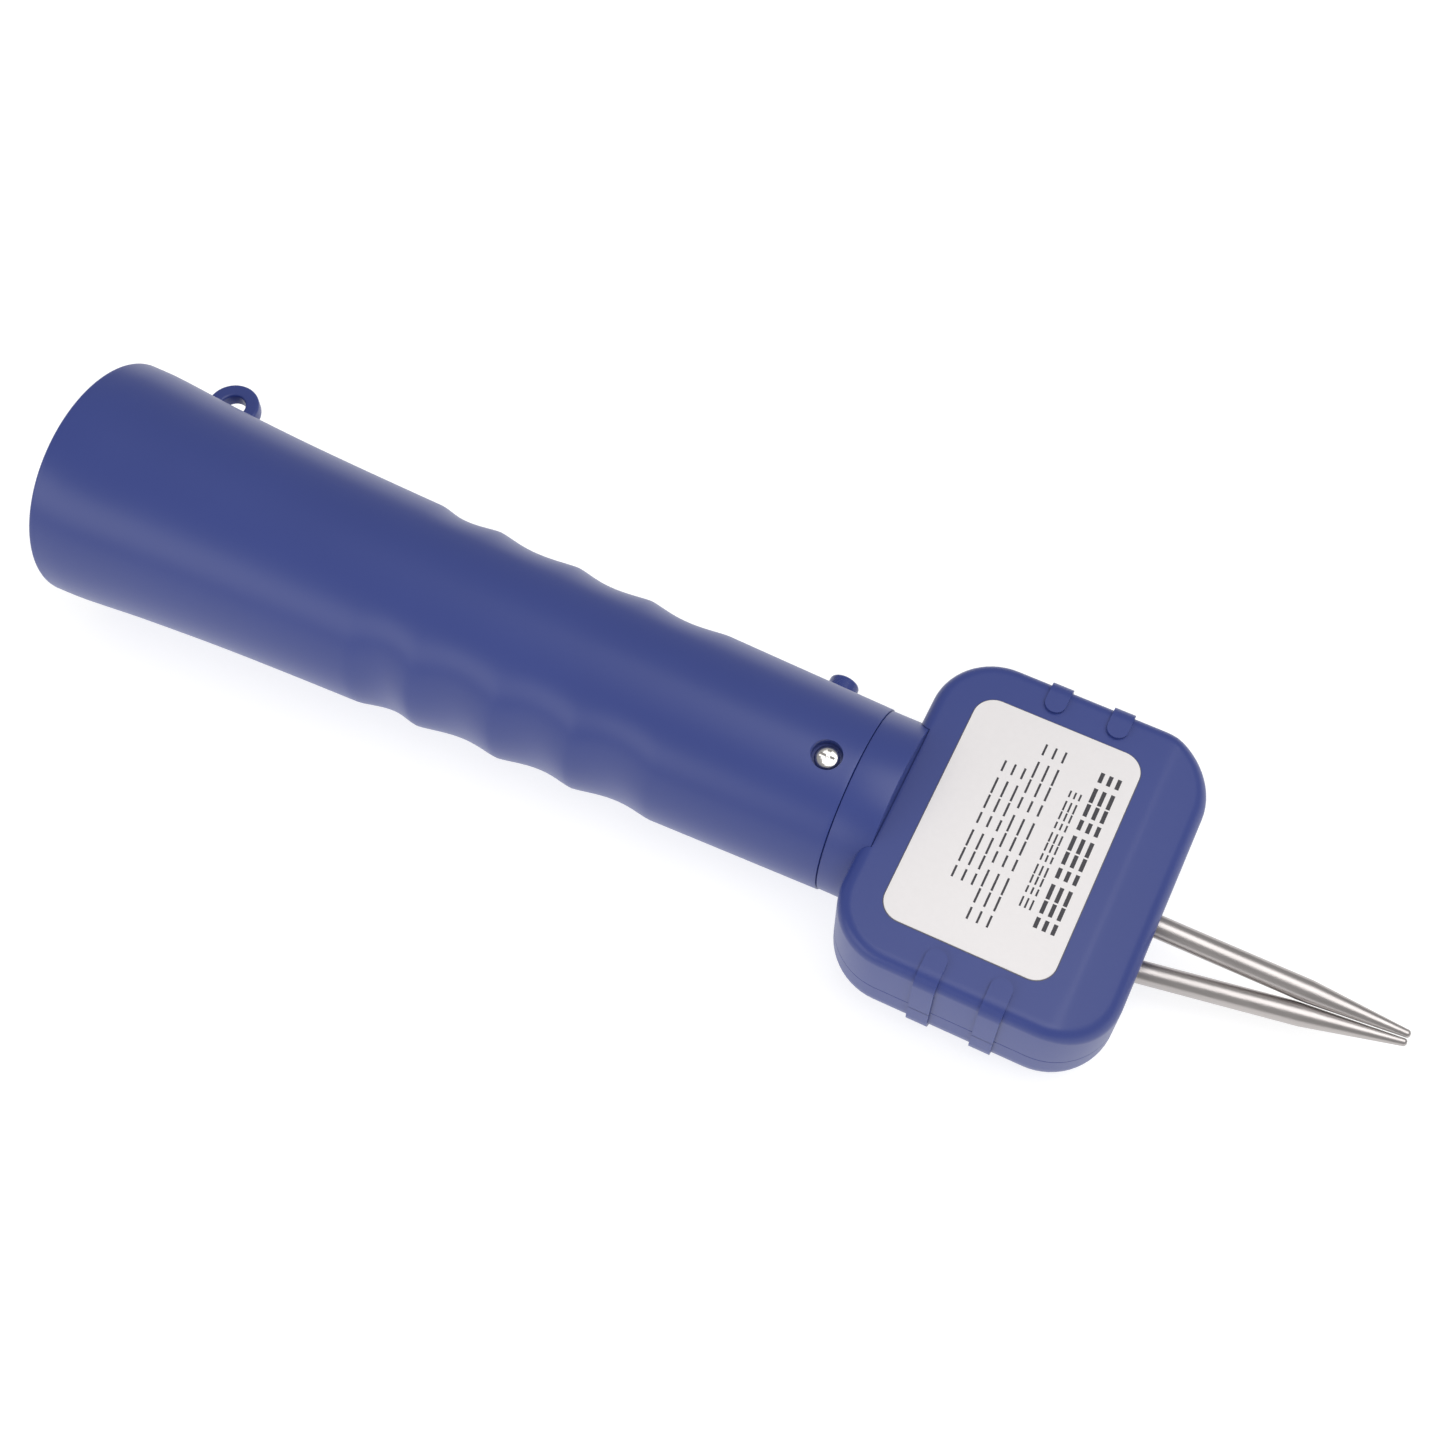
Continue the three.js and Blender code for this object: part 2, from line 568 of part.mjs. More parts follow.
function addJaws(group) {
  const fixed = jawBlank(JAW.tipX - 50).translate(JAW.tipX, JAW.fixedY, 0);
  addPart(group, 'fixed_jaw', steel, cut(fixed, meetingCutter(1)));
  const lean = Math.atan(JAW.spread);
  const moving = jawBlank((JAW.tipX - 54) / Math.cos(lean)).rotateZ(lean)
    .translate(JAW.tipX, movingJawY(JAW.tipX), 0);
  addPart(group, 'moving_jaw', steel, cut(moving, meetingCutter(-1)));
}

function addRocker(group) {
  const yoke = cut(
    box(24.6, 30, -10.3, 8.6, -8.1, 8.1), box(24, 31, -7.5, 5.8, -5.8, 5.8));
  const arm = box(24.6, 47, -14.2, -8, -3.8, 3.8);
  const hub = bar([PIVOT.x, PIVOT.y, -4.9], [PIVOT.x, PIVOT.y, 4.9], 4.6);
  const web = box(45, 56, -15.2, -9.4, -3.8, 3.8);
  const socket = bar([52, movingJawY(52), 0], [66, movingJawY(66), 0], 4.7);
  const socketBore = bar([53.6, movingJawY(53.6), 0], [70, movingJawY(70), 0], JAW.radius + FIT);
  const pivotBore = bar([PIVOT.x, PIVOT.y, -9], [PIVOT.x, PIVOT.y, 9], PIVOT.radius + FIT);
  const grubY = movingJawY(60);
  const grubBore = bar([60, grubY - 8, 0], [60, grubY, 0], 1.8, 12);
  addPart(group, 'jaw_rocker', castAlloy, cut(join(yoke, arm, hub, web, socket),
    socketBore, pivotBore, grubBore));
  addPart(group, 'moving_jaw_grub_screw', screwSteel,
    grubScrew([60, grubY - JAW.radius - FIT, 0], [60, grubY - 4.6, 0], 1.5));
  addPart(group, 'pivot_pin', steel,
    bar([PIVOT.x, PIVOT.y, PIVOT.bottom], [PIVOT.x, PIVOT.y, PIVOT.top], PIVOT.radius));
}

function addBlock(tool) {
  const blank = box(BLOCK.back, BLOCK.front, BLOCK.left, BLOCK.right, -BLOCK.halfHeight, BLOCK.halfHeight);
  const rockerSlot = tilted(box(BLOCK.back - 1, BLOCK.front + 1, -45, -5.9, -5.3, 5.3));
  const jawBore = tilted(axial(49.4, BLOCK.front + 1, JAW.radius + FIT, JAW.fixedY));
  const pinBore = tilted(
    bar([PIVOT.x, PIVOT.y, -7], [PIVOT.x, PIVOT.y, 30], PIVOT.radius + FIT));
  const grubBore = bar([58, 0.5, 1], [58, 0.5, 20], 1.8, 12);
  addPart(tool, 'jaw_block', castAlloy, cut(
    common(blank, headBody(-HEAD.wall - FIT)), rockerSlot, jawBore, pinBore, grubBore));
  addPart(tool, 'fixed_jaw_grub_screw', screwSteel, grubScrew([58, 0.5, 3.4], [58, 0.5, 9.4], 1.5));
}

function addEccentric(tool, group) {
  addPart(tool, 'output_shaft', steel, axial(SHAFT.back, SHAFT.front, SHAFT.radius));
  const middle = (CAM.back + CAM.front) / 2;
  addPart(group, 'eccentric_cam', steel, cut(
    axial(CAM.back, CAM.front, CAM.radius, -CAM.offset, 0, 20), axial(20, 35, SHAFT.radius + FIT),
    bar([middle, -9, 0], [middle, 0, 0], 1.2, 12)));
  addPart(group, 'cam_grub_screw', screwSteel, grubScrew([middle, -2.4, 0], [middle, -5.2, 0], 0.9));
}

// ---------------------------------------------------------------- the whole tool

const tool = new THREE.Group();
tool.position.set(-(JAW.tipX + HANDLE.back) / 2, 0, handleRadius(HANDLE.back + HANDLE.edge));

const jawGroup = new THREE.Group();
jawGroup.rotation.x = TILT;
tool.add(jawGroup);

addHandle(tool);
addButt(tool);
addCells(tool);
addDrive(tool);
addControls(tool);
addLeads(tool);
addCollar(tool);
addHead(tool);
addBlock(tool);
addEccentric(tool, jawGroup);
addJaws(jawGroup);
addRocker(jawGroup);

const tweezers = new THREE.Group();
tweezers.add(tool);
export default tweezers;
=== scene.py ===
"""Rechargeable plucking tweezers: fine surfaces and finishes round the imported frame.

The tool lies along X with its jaws towards +X, its label up and its button on the +Y side. Shapes are
worked out in millimetres from the tool's own zero, the seam between handle and collar on the tool axis.
"""

import math

import bmesh
import bpy
import numpy as np
from mathutils import Matrix, Vector


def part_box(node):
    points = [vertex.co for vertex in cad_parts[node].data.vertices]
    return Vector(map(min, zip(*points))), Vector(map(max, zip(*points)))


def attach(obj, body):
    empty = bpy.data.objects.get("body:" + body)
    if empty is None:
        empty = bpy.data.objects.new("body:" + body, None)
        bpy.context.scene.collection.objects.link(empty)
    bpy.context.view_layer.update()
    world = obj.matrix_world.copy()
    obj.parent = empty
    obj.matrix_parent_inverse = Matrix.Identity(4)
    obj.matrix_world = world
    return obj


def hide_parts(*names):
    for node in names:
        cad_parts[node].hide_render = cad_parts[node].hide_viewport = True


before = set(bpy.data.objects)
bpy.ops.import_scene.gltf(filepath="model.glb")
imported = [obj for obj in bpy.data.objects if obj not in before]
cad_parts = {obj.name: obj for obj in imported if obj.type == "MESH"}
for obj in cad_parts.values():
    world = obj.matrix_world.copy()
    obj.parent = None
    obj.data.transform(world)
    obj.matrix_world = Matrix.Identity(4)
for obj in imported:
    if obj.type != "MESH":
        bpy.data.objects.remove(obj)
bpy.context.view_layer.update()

bl_info = {
    "name": "Plucking Tweezers",
    "version": (1, 0, 0),
    "blender": (4, 5, 0),
    "location": "View3D > Sidebar > Tweezers",
    "description": "Builds rechargeable plucking tweezers with a flared handle, a box head and steel jaws",
    "category": "Add Mesh",
}

MM = 0.001
HANDLE_LOW, HANDLE_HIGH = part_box("handle_tube")
ORIGIN = Vector((HANDLE_HIGH.x, 0, (HANDLE_LOW.z + HANDLE_HIGH.z) / 2))
FIT = 0.3                                  # working gap between neighbouring pieces
SEAM = 0.12                                # closed seam between two fixed pieces
TILT = math.radians(30)                    # turn of the jaws' plane about the tool axis
SHARP_ANGLE = math.radians(35)
FULL_TURN = 2 * math.pi

# Outer radius of the handle at a few places along it.
STATION_X = np.array([-207.6, -200, -182, -155, -110, -47, 0])
STATION_RADIUS = np.array([30.5, 30.3, 28.8, 27.2, 25.7, 23.75, 22.6])
GROOVE_EDGES = np.array([-121.6, -105, -83.4, -63.5, -42.8])
SCREW_X, SCREW_ANGLE, SCREW_SEAT = -7, math.radians(8), 19.95
LOOP_X, LOOP_Y, LOOP_REACH = -190, 31.95, 8
BUTTON_X = -15
SPIGOT_BACK = -22
COLLAR_FRONT, COLLAR_RADIUS = 10, 22.3


# ---------------------------------------------------------------- sizes and colours a user may change

def length(name, default, description):
    """A length property shown in millimetres."""
    return bpy.props.FloatProperty(name=name, description=f"{description}, in millimetres", default=default)


def colour(name, default, description):
    """A colour property, linear red, green and blue."""
    return bpy.props.FloatVectorProperty(
        name=name, description=description, default=default, size=3, subtype="COLOR", min=0, max=1)


class HandleSizes(bpy.types.PropertyGroup):
    """Sizes of the handle, its lanyard loop and its button."""

    edge: length("End rounding", 0.8, "Radius of the rounded edge at the flared end")
    groove_depth: length("Groove depth", 1.9, "How far the finger grooves go in")
    groove_half_angle: bpy.props.FloatProperty(
        name="Groove half angle", description="Half of the angle that a groove spans round the handle",
        default=math.radians(65), subtype="ANGLE", unit="ROTATION")
    loop_outer: length("Loop radius", 6.75, "Outer radius of the lanyard loop")
    loop_hole: length("Loop hole", 3.25, "Radius of the hole in the lanyard loop")
    button_radius: length("Button radius", 3.7, "Radius of the push button")
    button_top: length("Button top", 27.3, "Distance of the button's top from the tool axis")


class HeadSizes(bpy.types.PropertyGroup):
    """Sizes of the box head and its label."""

    half_width: length("Half width", 40.4, "Half of the head's width")
    corner: length("Corner radius", 15, "Radius of the head's corners seen from the front")
    top: length("Front height", 15.4, "Height of the front face above the tool axis")
    depth: length("Rear depth", 15.6, "Depth of the rear face below the tool axis")
    front_edge: length("Front edge", 3, "Radius of the edge round the front face")
    rear_edge: length("Rear edge", 11, "Radius of the edge round the rear face")
    wall: length("Wall", 2.5, "Thickness of the covers")
    rib_height: length("Rib height", 0.8, "How far the four ribs stand proud")


class JawSizes(bpy.types.PropertyGroup):
    """Sizes of the two steel jaws."""

    radius: length("Rod radius", 2.71, "Radius of each jaw's round part")
    tip_radius: length("Tip radius", 1, "Radius of each jaw at its tip")
    tip_x: length("Reach", 132, "Distance of the tips from the handle seam")
    taper: length("Taper", 23, "Length of each jaw's tapered end")


class Colours(bpy.types.PropertyGroup):
    """Colours of the visible pieces."""

    plastic: colour("Plastic", (0.037, 0.059, 0.250), "Colour of the moulded plastic")
    paper: colour("Label", (0.90, 0.87, 0.87), "Colour of the label film")
    ink: colour("Ink", (0.035, 0.033, 0.040), "Colour of the label's print")
    steel: colour("Steel", (0.48, 0.45, 0.44), "Colour of the jaws' ground steel")


class StudioSettings(bpy.types.PropertyGroup):
    """Floor, lights and camera."""

    floor_shade: colour("Floor", (0.4, 0.4, 0.4), "Colour of the floor")
    floor_glow: bpy.props.FloatProperty(
        name="Floor glow", description="Brightness of the lit floor", default=0.78)
    overhead: bpy.props.FloatProperty(
        name="Overhead light", description="Power of the soft light above", default=7.2, unit="POWER")
    front: bpy.props.FloatProperty(
        name="Front light", description="Power of the soft light on the camera's side", default=4.5,
        unit="POWER")
    sky: bpy.props.FloatProperty(
        name="Sky", description="Brightness of the light from all round", default=0.42)
    camera_distance: bpy.props.FloatProperty(
        name="Camera distance", description="Distance of the camera from its target",
        default=0.4796, unit="LENGTH")


# ---------------------------------------------------------------- surfaces

def grid(points, wrap_rows=False):
    """A grid of points, rows by columns, as a shape: each row closes on itself and joins its neighbour
    rows by quads. Unless the rows wrap too, the first and last row are closed by a flat face."""
    rows, columns = points.shape[:2]
    row = np.arange(rows if wrap_rows else rows - 1)[:, None]
    column = np.arange(columns)[None, :]
    next_row, next_column = (row + 1) % rows, (column + 1) % columns
    corners = [row * columns + column, next_row * columns + column,
               next_row * columns + next_column, row * columns + next_column]
    faces = np.stack(corners, axis=-1).reshape(-1, 4).tolist()
    if not wrap_rows:
        faces.append(list(range(columns)))
        faces.append(list(range((rows - 1) * columns, rows * columns))[::-1])
    return points.reshape(-1, 3), faces


def combine(*shapes):
    """Several shapes as one."""
    points, faces, count = [], [], 0
    for shape_points, shape_faces in shapes:
        points.append(shape_points)
        faces.extend([[count + v for v in face] for face in shape_faces])
        count += len(shape_points)
    return np.vstack(points), faces


def moved(shape, change):
    """A shape with its points changed by a function of the point array."""
    return change(shape[0]), shape[1]


def turned(profile, sides=96, wrap=False):
    """A profile of (place, radius) carried round the X axis: y and z are the radius times the cosine and
    sine of the turn."""
    place, radius = np.asarray(profile, float).T
    turn = np.linspace(0, FULL_TURN, sides, endpoint=False)
    y = radius[:, None] * np.cos(turn)
    z = radius[:, None] * np.sin(turn)
    return grid(np.stack([np.broadcast_to(place[:, None], y.shape), y, z], axis=-1), wrap)


def along_y(points):
    """The X axis taken to the Y axis."""
    return points[:, [2, 0, 1]]


def along_z(points):
    """The X axis taken to the Z axis."""
    return points[:, [1, 2, 0]]


def shifted(x=0, y=0, z=0):
    """A change that moves points by a fixed amount."""
    return lambda points: points + np.array([x, y, z])


def turned_about_x(angle):
    """A change that turns points about the X axis."""
    c, s = math.cos(angle), math.sin(angle)
    return lambda points: points @ np.array([[1, 0, 0], [0, c, s], [0, -s, c]])


def soft_path(corners, radius, steps=5):
    """Straight lines through the corners, each inner corner softened by a quadratic curve that starts
    and ends `radius` away from it."""
    corners = np.asarray(corners, float)
    at = corners[1:-1]
    back, ahead = corners[:-2] - at, corners[2:] - at
    back_length = np.linalg.norm(back, axis=1, keepdims=True)
    ahead_length = np.linalg.norm(ahead, axis=1, keepdims=True)
    reach = np.minimum(radius, 0.45 * np.minimum(back_length, ahead_length))
    start, end = at + back / back_length * reach, at + ahead / ahead_length * reach
    t = np.linspace(0, 1, steps)[None, :, None]
    curves = (1 - t) ** 2 * start[:, None] + 2 * t * (1 - t) * at[:, None] + t ** 2 * end[:, None]
    return np.vstack([corners[:1], curves.reshape(-1, 2), corners[-1:]])


def cylinder(x0, x1, radius, sides=64):
    """A plain round bar along X."""
    return turned([(x0, 0), (x0, radius), (x1, radius), (x1, 0)], sides)


def prism(outline, z0, z1):
    """A flat outline of (x, y) points raised from z0 to z1."""
    heights = np.array([z0, z1])[:, None, None]
    flat = np.broadcast_to(outline[None], (2, *outline.shape))
    return grid(np.concatenate([flat, np.broadcast_to(heights, (2, len(outline), 1))], axis=-1))


def block(low, high):
    """A box between two corners."""
    outline = np.array([(low[0], low[1]), (high[0], low[1]), (high[0], high[1]), (low[0], high[1])], float)
    return prism(outline, low[2], high[2])


# ---------------------------------------------------------------- objects

def make_object(name, shape):
    """A mesh object from a shape in millimetres, its doubles merged and its faces turned outwards."""
    points, faces = shape
    mesh = bpy.data.meshes.new(name)
    mesh.from_pydata((points * MM + np.array(ORIGIN)).tolist(), [], faces)
    made = bmesh.new()
    made.from_mesh(mesh)
    bmesh.ops.remove_doubles(made, verts=made.verts, dist=1e-6)
    bmesh.ops.recalc_face_normals(made, faces=made.faces)
    made.to_mesh(mesh)
    made.free()
    obj = bpy.data.objects.new(name, mesh)
    bpy.context.scene.collection.objects.link(obj)
    return obj


def boolean(obj, shape, operation="DIFFERENCE"):
    """Cuts, joins or intersects an object's mesh with a shape."""
    tool = make_object("boolean_tool", shape) if isinstance(shape, tuple) else shape
    modifier = obj.modifiers.new("boolean", "BOOLEAN")
    modifier.operation = operation
    modifier.solver = "EXACT"
    modifier.object = tool
    bpy.context.view_layer.update()
    result = bpy.data.meshes.new_from_object(obj.evaluated_get(bpy.context.evaluated_depsgraph_get()))
    obj.modifiers.remove(modifier)
    old = obj.data
    obj.data = result
    bpy.data.meshes.remove(old)
    bpy.data.objects.remove(tool)
    return obj


def finish_piece(obj, body, nodes, material):
    """Smooth shading, material, body and the CAD nodes that the piece stands for."""
    obj.data.materials.clear()
    obj.data.materials.append(material)
    obj.data.shade_smooth()
    obj.data.set_sharp_from_angle(angle=SHARP_ANGLE)
    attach(obj, body)
    if nodes:
        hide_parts(*nodes)
    return obj


def piece(name, shape, body, material, nodes=()):
    """A finished piece made straight from a shape."""
    return finish_piece(make_object(name, shape), body, nodes, material)


# ---------------------------------------------------------------- materials

class Wire:
    """One output of a material's node tree. Arithmetic on wires adds Math nodes."""

    def __init__(self, finish, socket):
        self.finish = finish
        self.socket = socket

    def math(self, operation, first, second):
        """A Math node of two wires or numbers."""
        return self.finish.node("ShaderNodeMath", {"operation": operation}, {0: first, 1: second})

    def __add__(self, other):
        return self.math("ADD", self, other)

    def __mul__(self, other):
        return self.math("MULTIPLY", self, other)

    __radd__ = __add__
    __rmul__ = __mul__


class Finish:
    """A material in the making: its node tree and its Principled shader."""

    def __init__(self, name, **constants):
        self.material = bpy.data.materials.new(name)
        self.material.use_nodes = True
        self.tree = self.material.node_tree
        self.tree.nodes.clear()
        self.shader = self.tree.nodes.new("ShaderNodeBsdfPrincipled")
        output = self.tree.nodes.new("ShaderNodeOutputMaterial")
        self.tree.links.new(self.shader.outputs[0], output.inputs["Surface"])
        for socket, value in constants.items():
            self.shader.inputs[socket.replace("_", " ").title().replace("Ior", "IOR")].default_value = value

    def node(self, kind, settings, inputs, output=0):
        """Adds a node, sets its settings, then gives its sockets values or links."""
        made = self.tree.nodes.new(kind)
        for name, value in settings.items():
            setattr(made, name, value)
        for socket, value in inputs.items():
            self.feed(made.inputs[socket], value)
        return Wire(self, made.outputs[output])

    def feed(self, socket, value):
        """Links a wire to a socket, or sets the socket's own value."""
        if isinstance(value, Wire):
            self.tree.links.new(value.socket, socket)
        else:
            socket.default_value = value

    def place(self, scale):
        """Object coordinates, in metres, stretched by a scale for each axis."""
        coordinates = self.node("ShaderNodeTexCoord", {}, {}, "Object")
        return self.node("ShaderNodeMapping", {}, {"Vector": coordinates, "Scale": scale})

    def noise(self, scale, detail=3.0, stretch=(1, 1, 1)):
        """Smooth noise from 0 to 1; `scale` is in waves to the metre."""
        return self.node("ShaderNodeTexNoise", {}, {
            "Vector": self.place(stretch), "Scale": scale, "Detail": detail}, "Fac")

    def blend(self, share, first, second):
        """A mix of two colours by a share from 0 to 1."""
        return self.node("ShaderNodeMix", {"data_type": "RGBA"}, {
            0: share, 6: (*first, 1), 7: (*second, 1)}, 2)

    def surface(self, base=None, roughness=None, height=None, strength=0.1, distance=0.0001):
        """Feeds the shader's colour, roughness and bumped normal, and returns the material."""
        if base is not None:
            self.feed(self.shader.inputs["Base Color"], base)
        if roughness is not None:
            self.feed(self.shader.inputs["Roughness"], roughness)
        if height is not None:
            bump = self.node("ShaderNodeBump", {}, {
                "Height": height, "Strength": strength, "Distance": distance})
            self.feed(self.shader.inputs["Normal"], bump)
        return self.material


def shade(rgb, factor):
    """A colour made lighter or darker."""
    return tuple(min(1, channel * factor) for channel in rgb)


def moulded_plastic(name, rgb, rough=0.36, grain=0.08):
    """Satin moulded plastic: fine spark-eroded grain, faint drift in colour and gloss."""
    finish = Finish(name, ior=1.5)
    drift = finish.noise(22, 4)
    grains = finish.noise(2600, 2)
    return finish.surface(
        finish.blend(drift, shade(rgb, 0.93), shade(rgb, 1.07)),
        drift * 0.08 + grains * 0.06 + (rough - 0.07), grains, grain, 0.00004)


def label_film(rgb):
    """Printed label film: off-white, slightly fibrous."""
    finish = Finish("label_film", ior=1.45)
    fibre = finish.noise(900, 5)
    return finish.surface(
        finish.blend(fibre, shade(rgb, 0.98), shade(rgb, 1.02)), fibre * 0.1 + 0.42, fibre, 0.05, 0.00003)


def label_ink(rgb):
    """Printed black, a little uneven."""
    finish = Finish("label_ink")
    spots = finish.noise(1500, 3)
    return finish.surface(finish.blend(spots, rgb, shade(rgb, 1.6)), spots * 0.1 + 0.45)


def ground_metal(name, rgb, rough, stretch=(0.02, 1, 1), grain=0.25):
    """Metal with fine grinding marks along one axis."""
    finish = Finish(name, metallic=1.0)
    marks = finish.noise(2400, 3, stretch)
    drift = finish.noise(60, 3)
    return finish.surface(
        finish.blend(drift, shade(rgb, 0.9), shade(rgb, 1.08)),
        marks * 0.14 + (rough - 0.07), marks, grain, 0.00003)


def cast_metal():
    """Die-cast alloy, mottled and matt."""
    finish = Finish("cast_alloy", metallic=0.9)
    mottle = finish.noise(350, 5)
    return finish.surface(
        finish.blend(mottle, (0.22, 0.23, 0.24), (0.34, 0.35, 0.36)),
        mottle * 0.2 + 0.42, mottle, 0.3, 0.0001)


def plain(name, rgb, rough, **constants):
    """A simple coated or moulded surface with a faint change in colour and gloss."""
    finish = Finish(name, **constants)
    drift = finish.noise(120, 4)
    return finish.surface(
        finish.blend(drift, shade(rgb, 0.85), shade(rgb, 1.15)), drift * 0.1 + (rough - 0.05))


def circuit_board():
    """Green board with a regular pattern of tracks."""
    finish = Finish("circuit_board")
    tracks = finish.node("ShaderNodeTexBrick", {}, {
        "Vector": finish.place((1, 1, 1)), "Scale": 180.0, "Color1": (0.01, 0.10, 0.035, 1),
        "Color2": (0.012, 0.13, 0.045, 1), "Mortar": (0.02, 0.22, 0.08, 1)}, "Color")
    return finish.surface(tracks, finish.noise(400) * 0.1 + 0.35)


MATERIALS = {}


def material(name):
    """A named material, made the first time it is asked for."""
    if name not in MATERIALS:
        colours = bpy.context.scene.tweezers_colours
        makers = {
            "body_plastic": lambda: moulded_plastic("body_plastic", tuple(colours.plastic)),
            "button_plastic": lambda: moulded_plastic("button_plastic", tuple(colours.plastic), 0.26, 0.04),
            "label_film": lambda: label_film(tuple(colours.paper)),
            "label_ink": lambda: label_ink(tuple(colours.ink)),
            # a dark sheet that paints the shadow round the label's edge
            "label_painted_shadow": lambda: plain("label_painted_shadow", (0.10, 0.10, 0.13), 0.5),
            "jaw_steel": lambda: ground_metal("jaw_steel", tuple(colours.steel), 0.33),
            "screw_steel": lambda: ground_metal("screw_steel", (0.72, 0.70, 0.68), 0.2, (1, 1, 1), 0.1),
            "motor_steel": lambda: ground_metal("motor_steel", (0.45, 0.46, 0.47), 0.35, (1, 0.05, 0.05)),
            "cast_alloy": cast_metal,
            "black_plastic": lambda: moulded_plastic("black_plastic", (0.012, 0.013, 0.015), 0.5),
            "lens": lambda: plain("lens", (0.62, 0.78, 0.68), 0.14, transmission_weight=0.35, ior=1.49),
            "cell_wrap": lambda: plain("cell_wrap", (0.03, 0.27, 0.14), 0.3),
            "circuit_board": circuit_board,
            "red_wire": lambda: plain("red_wire", (0.45, 0.02, 0.015), 0.45),
            "black_wire": lambda: plain("black_wire", (0.012, 0.012, 0.013), 0.5),
        }
        MATERIALS[name] = makers[name]()
    return MATERIALS[name]


# ---------------------------------------------------------------- handle

def handle_radius(x):
    """Outer radius at places along the handle: the cubic through the two stations on either side of
    each place, with slopes taken across the neighbouring stations."""
    padded_x = np.concatenate([STATION_X[:1], STATION_X, STATION_X[-1:]])
    padded_radius = np.concatenate([STATION_RADIUS[:1], STATION_RADIUS, STATION_RADIUS[-1:]])
    slope = (padded_radius[2:] - padded_radius[:-2]) / (padded_x[2:] - padded_x[:-2])
    i = np.clip(np.searchsorted(STATION_X, x, side="right") - 1, 0, len(STATION_X) - 2)
    span = STATION_X[i + 1] - STATION_X[i]
    t = (x - STATION_X[i]) / span
    ease = t * t * (3 - 2 * t)
    return (STATION_RADIUS[i] + (STATION_RADIUS[i + 1] - STATION_RADIUS[i]) * ease
            + slope[i] * span * t * (1 - t) ** 2 - slope[i + 1] * span * t * t * (1 - t))


def groove_depth(x, angle, sizes):
    """Depth of the finger grooves: a softened sine wave along each groove, times the square of a cosine
    of the angle away from the Y axis."""
    i = np.clip(np.searchsorted(GROOVE_EDGES, x) - 1, 0, len(GROOVE_EDGES) - 2)
    share = np.clip((x - GROOVE_EDGES[i]) / (GROOVE_EDGES[i + 1] - GROOVE_EDGES[i]), 0, 1)
    off = np.clip(np.abs(angle) / sizes.groove_half_angle, 0, 1)
    along = np.clip(np.sin(np.pi * share), 0, 1) ** 1.35
    return sizes.groove_depth * along * np.cos(off * np.pi / 2) ** 2


def handle_section(sizes):
    """The handle wall cut lengthwise: (place, radius) round the outside, then back along the bore.
    Also says how many of the points lie on the outside."""
    back, edge, lip = STATION_X[0], sizes.edge, 0.2
    outside = np.linspace(back + edge, -lip, 210)
    quarter = np.linspace(0, np.pi / 2, 6)[:-1]
    back_arc = np.stack([back + edge - edge * np.cos(quarter),
                         handle_radius(back + edge) - edge + edge * np.sin(quarter)], -1)
    front_arc = np.stack([-lip + lip * np.sin(quarter[1:]),
                          handle_radius(-lip) - lip + lip * np.cos(quarter[1:])], -1)
    outer = np.vstack([back_arc, np.stack([outside, handle_radius(outside)], -1), front_arc])
    bore = [(0, 18.9), (-24, 18.9), (-24, 19.3), (-45, 19.6), (-121, 22), (-190, 25.6), (-196, 26.2),
            (-204.1, 26.2), (-204.1, 27.5), (back, 27.5)]
    return np.vstack([outer, bore]), len(outer)


def handle_wall(sizes, columns=224):
    """The handle as a closed ring surface: radius less the groove depth on the outside rows."""
    section, outside = handle_section(sizes)
    turn = np.linspace(0, FULL_TURN, columns, endpoint=False)
    from_y = np.arctan2(np.sin(turn), np.abs(np.cos(turn)))
    depth = groove_depth(section[:, :1], from_y[None, :], sizes)
    depth[outside:] = 0
    radius = section[:, 1:] - depth
    place = np.broadcast_to(section[:, :1], radius.shape)
    return grid(np.stack([place, radius * np.cos(turn), radius * np.sin(turn)], -1), wrap_rows=True)


def screw_place(side):
    """A change that takes a shape on the Z axis to a neck screw: side 1 is the label side, -1 the rear."""
    turn = turned_about_x(SCREW_ANGLE + (0 if side > 0 else math.pi))
    return lambda points: turn(points) + np.array([SCREW_X, 0, 0])


def neck_screw_hole():
    """Counterbore with a slightly flared mouth, and the shank's hole under it."""
    seat = SCREW_SEAT
    return moved(turned([
        (12, 0), (12, 1.8), (seat, 1.8), (seat, 3.6), (22.5, 3.6), (22.75, 3.72), (23.2, 4.2), (30, 4.2),
        (30, 0)], 64), along_z)


def build_handle(sizes):
    """The handle tube with its button hole and screw holes."""
    handle = make_object("handle", handle_wall(sizes))
    button_hole = moved(moved(cylinder(10, 30, sizes.button_radius + FIT), along_y), shifted(x=BUTTON_X))
    screw_holes = [moved(neck_screw_hole(), screw_place(side)) for side in (1, -1)]
    boolean(handle, combine(button_hole, *screw_holes))
    finish_piece(handle, "housing", ["handle_tube"], material("body_plastic"))


def build_loop(sizes):
    """The lanyard loop: a rounded rectangular section carried round its hole, trimmed by the handle."""
    half, soft = 2, 0.7
    section = soft_path([
        (0, sizes.loop_hole), (half, sizes.loop_hole), (half, sizes.loop_outer),
        (-half, sizes.loop_outer), (-half, sizes.loop_hole), (0, sizes.loop_hole)], soft)
    ring = moved(moved(turned(section[:-1], 72, wrap=True), along_z), shifted(LOOP_X, LOOP_Y))
    loop = make_object("loop", ring)
    behind, ahead, rim = LOOP_X - LOOP_REACH, LOOP_X + LOOP_REACH, 0.05
    wall = [(behind, 0), (behind, handle_radius(behind) + rim),
            (ahead, handle_radius(ahead) + rim), (ahead, 0)]
    boolean(loop, turned(wall, 224))
    finish_piece(loop, "housing", ["lanyard_loop"], material("body_plastic"))


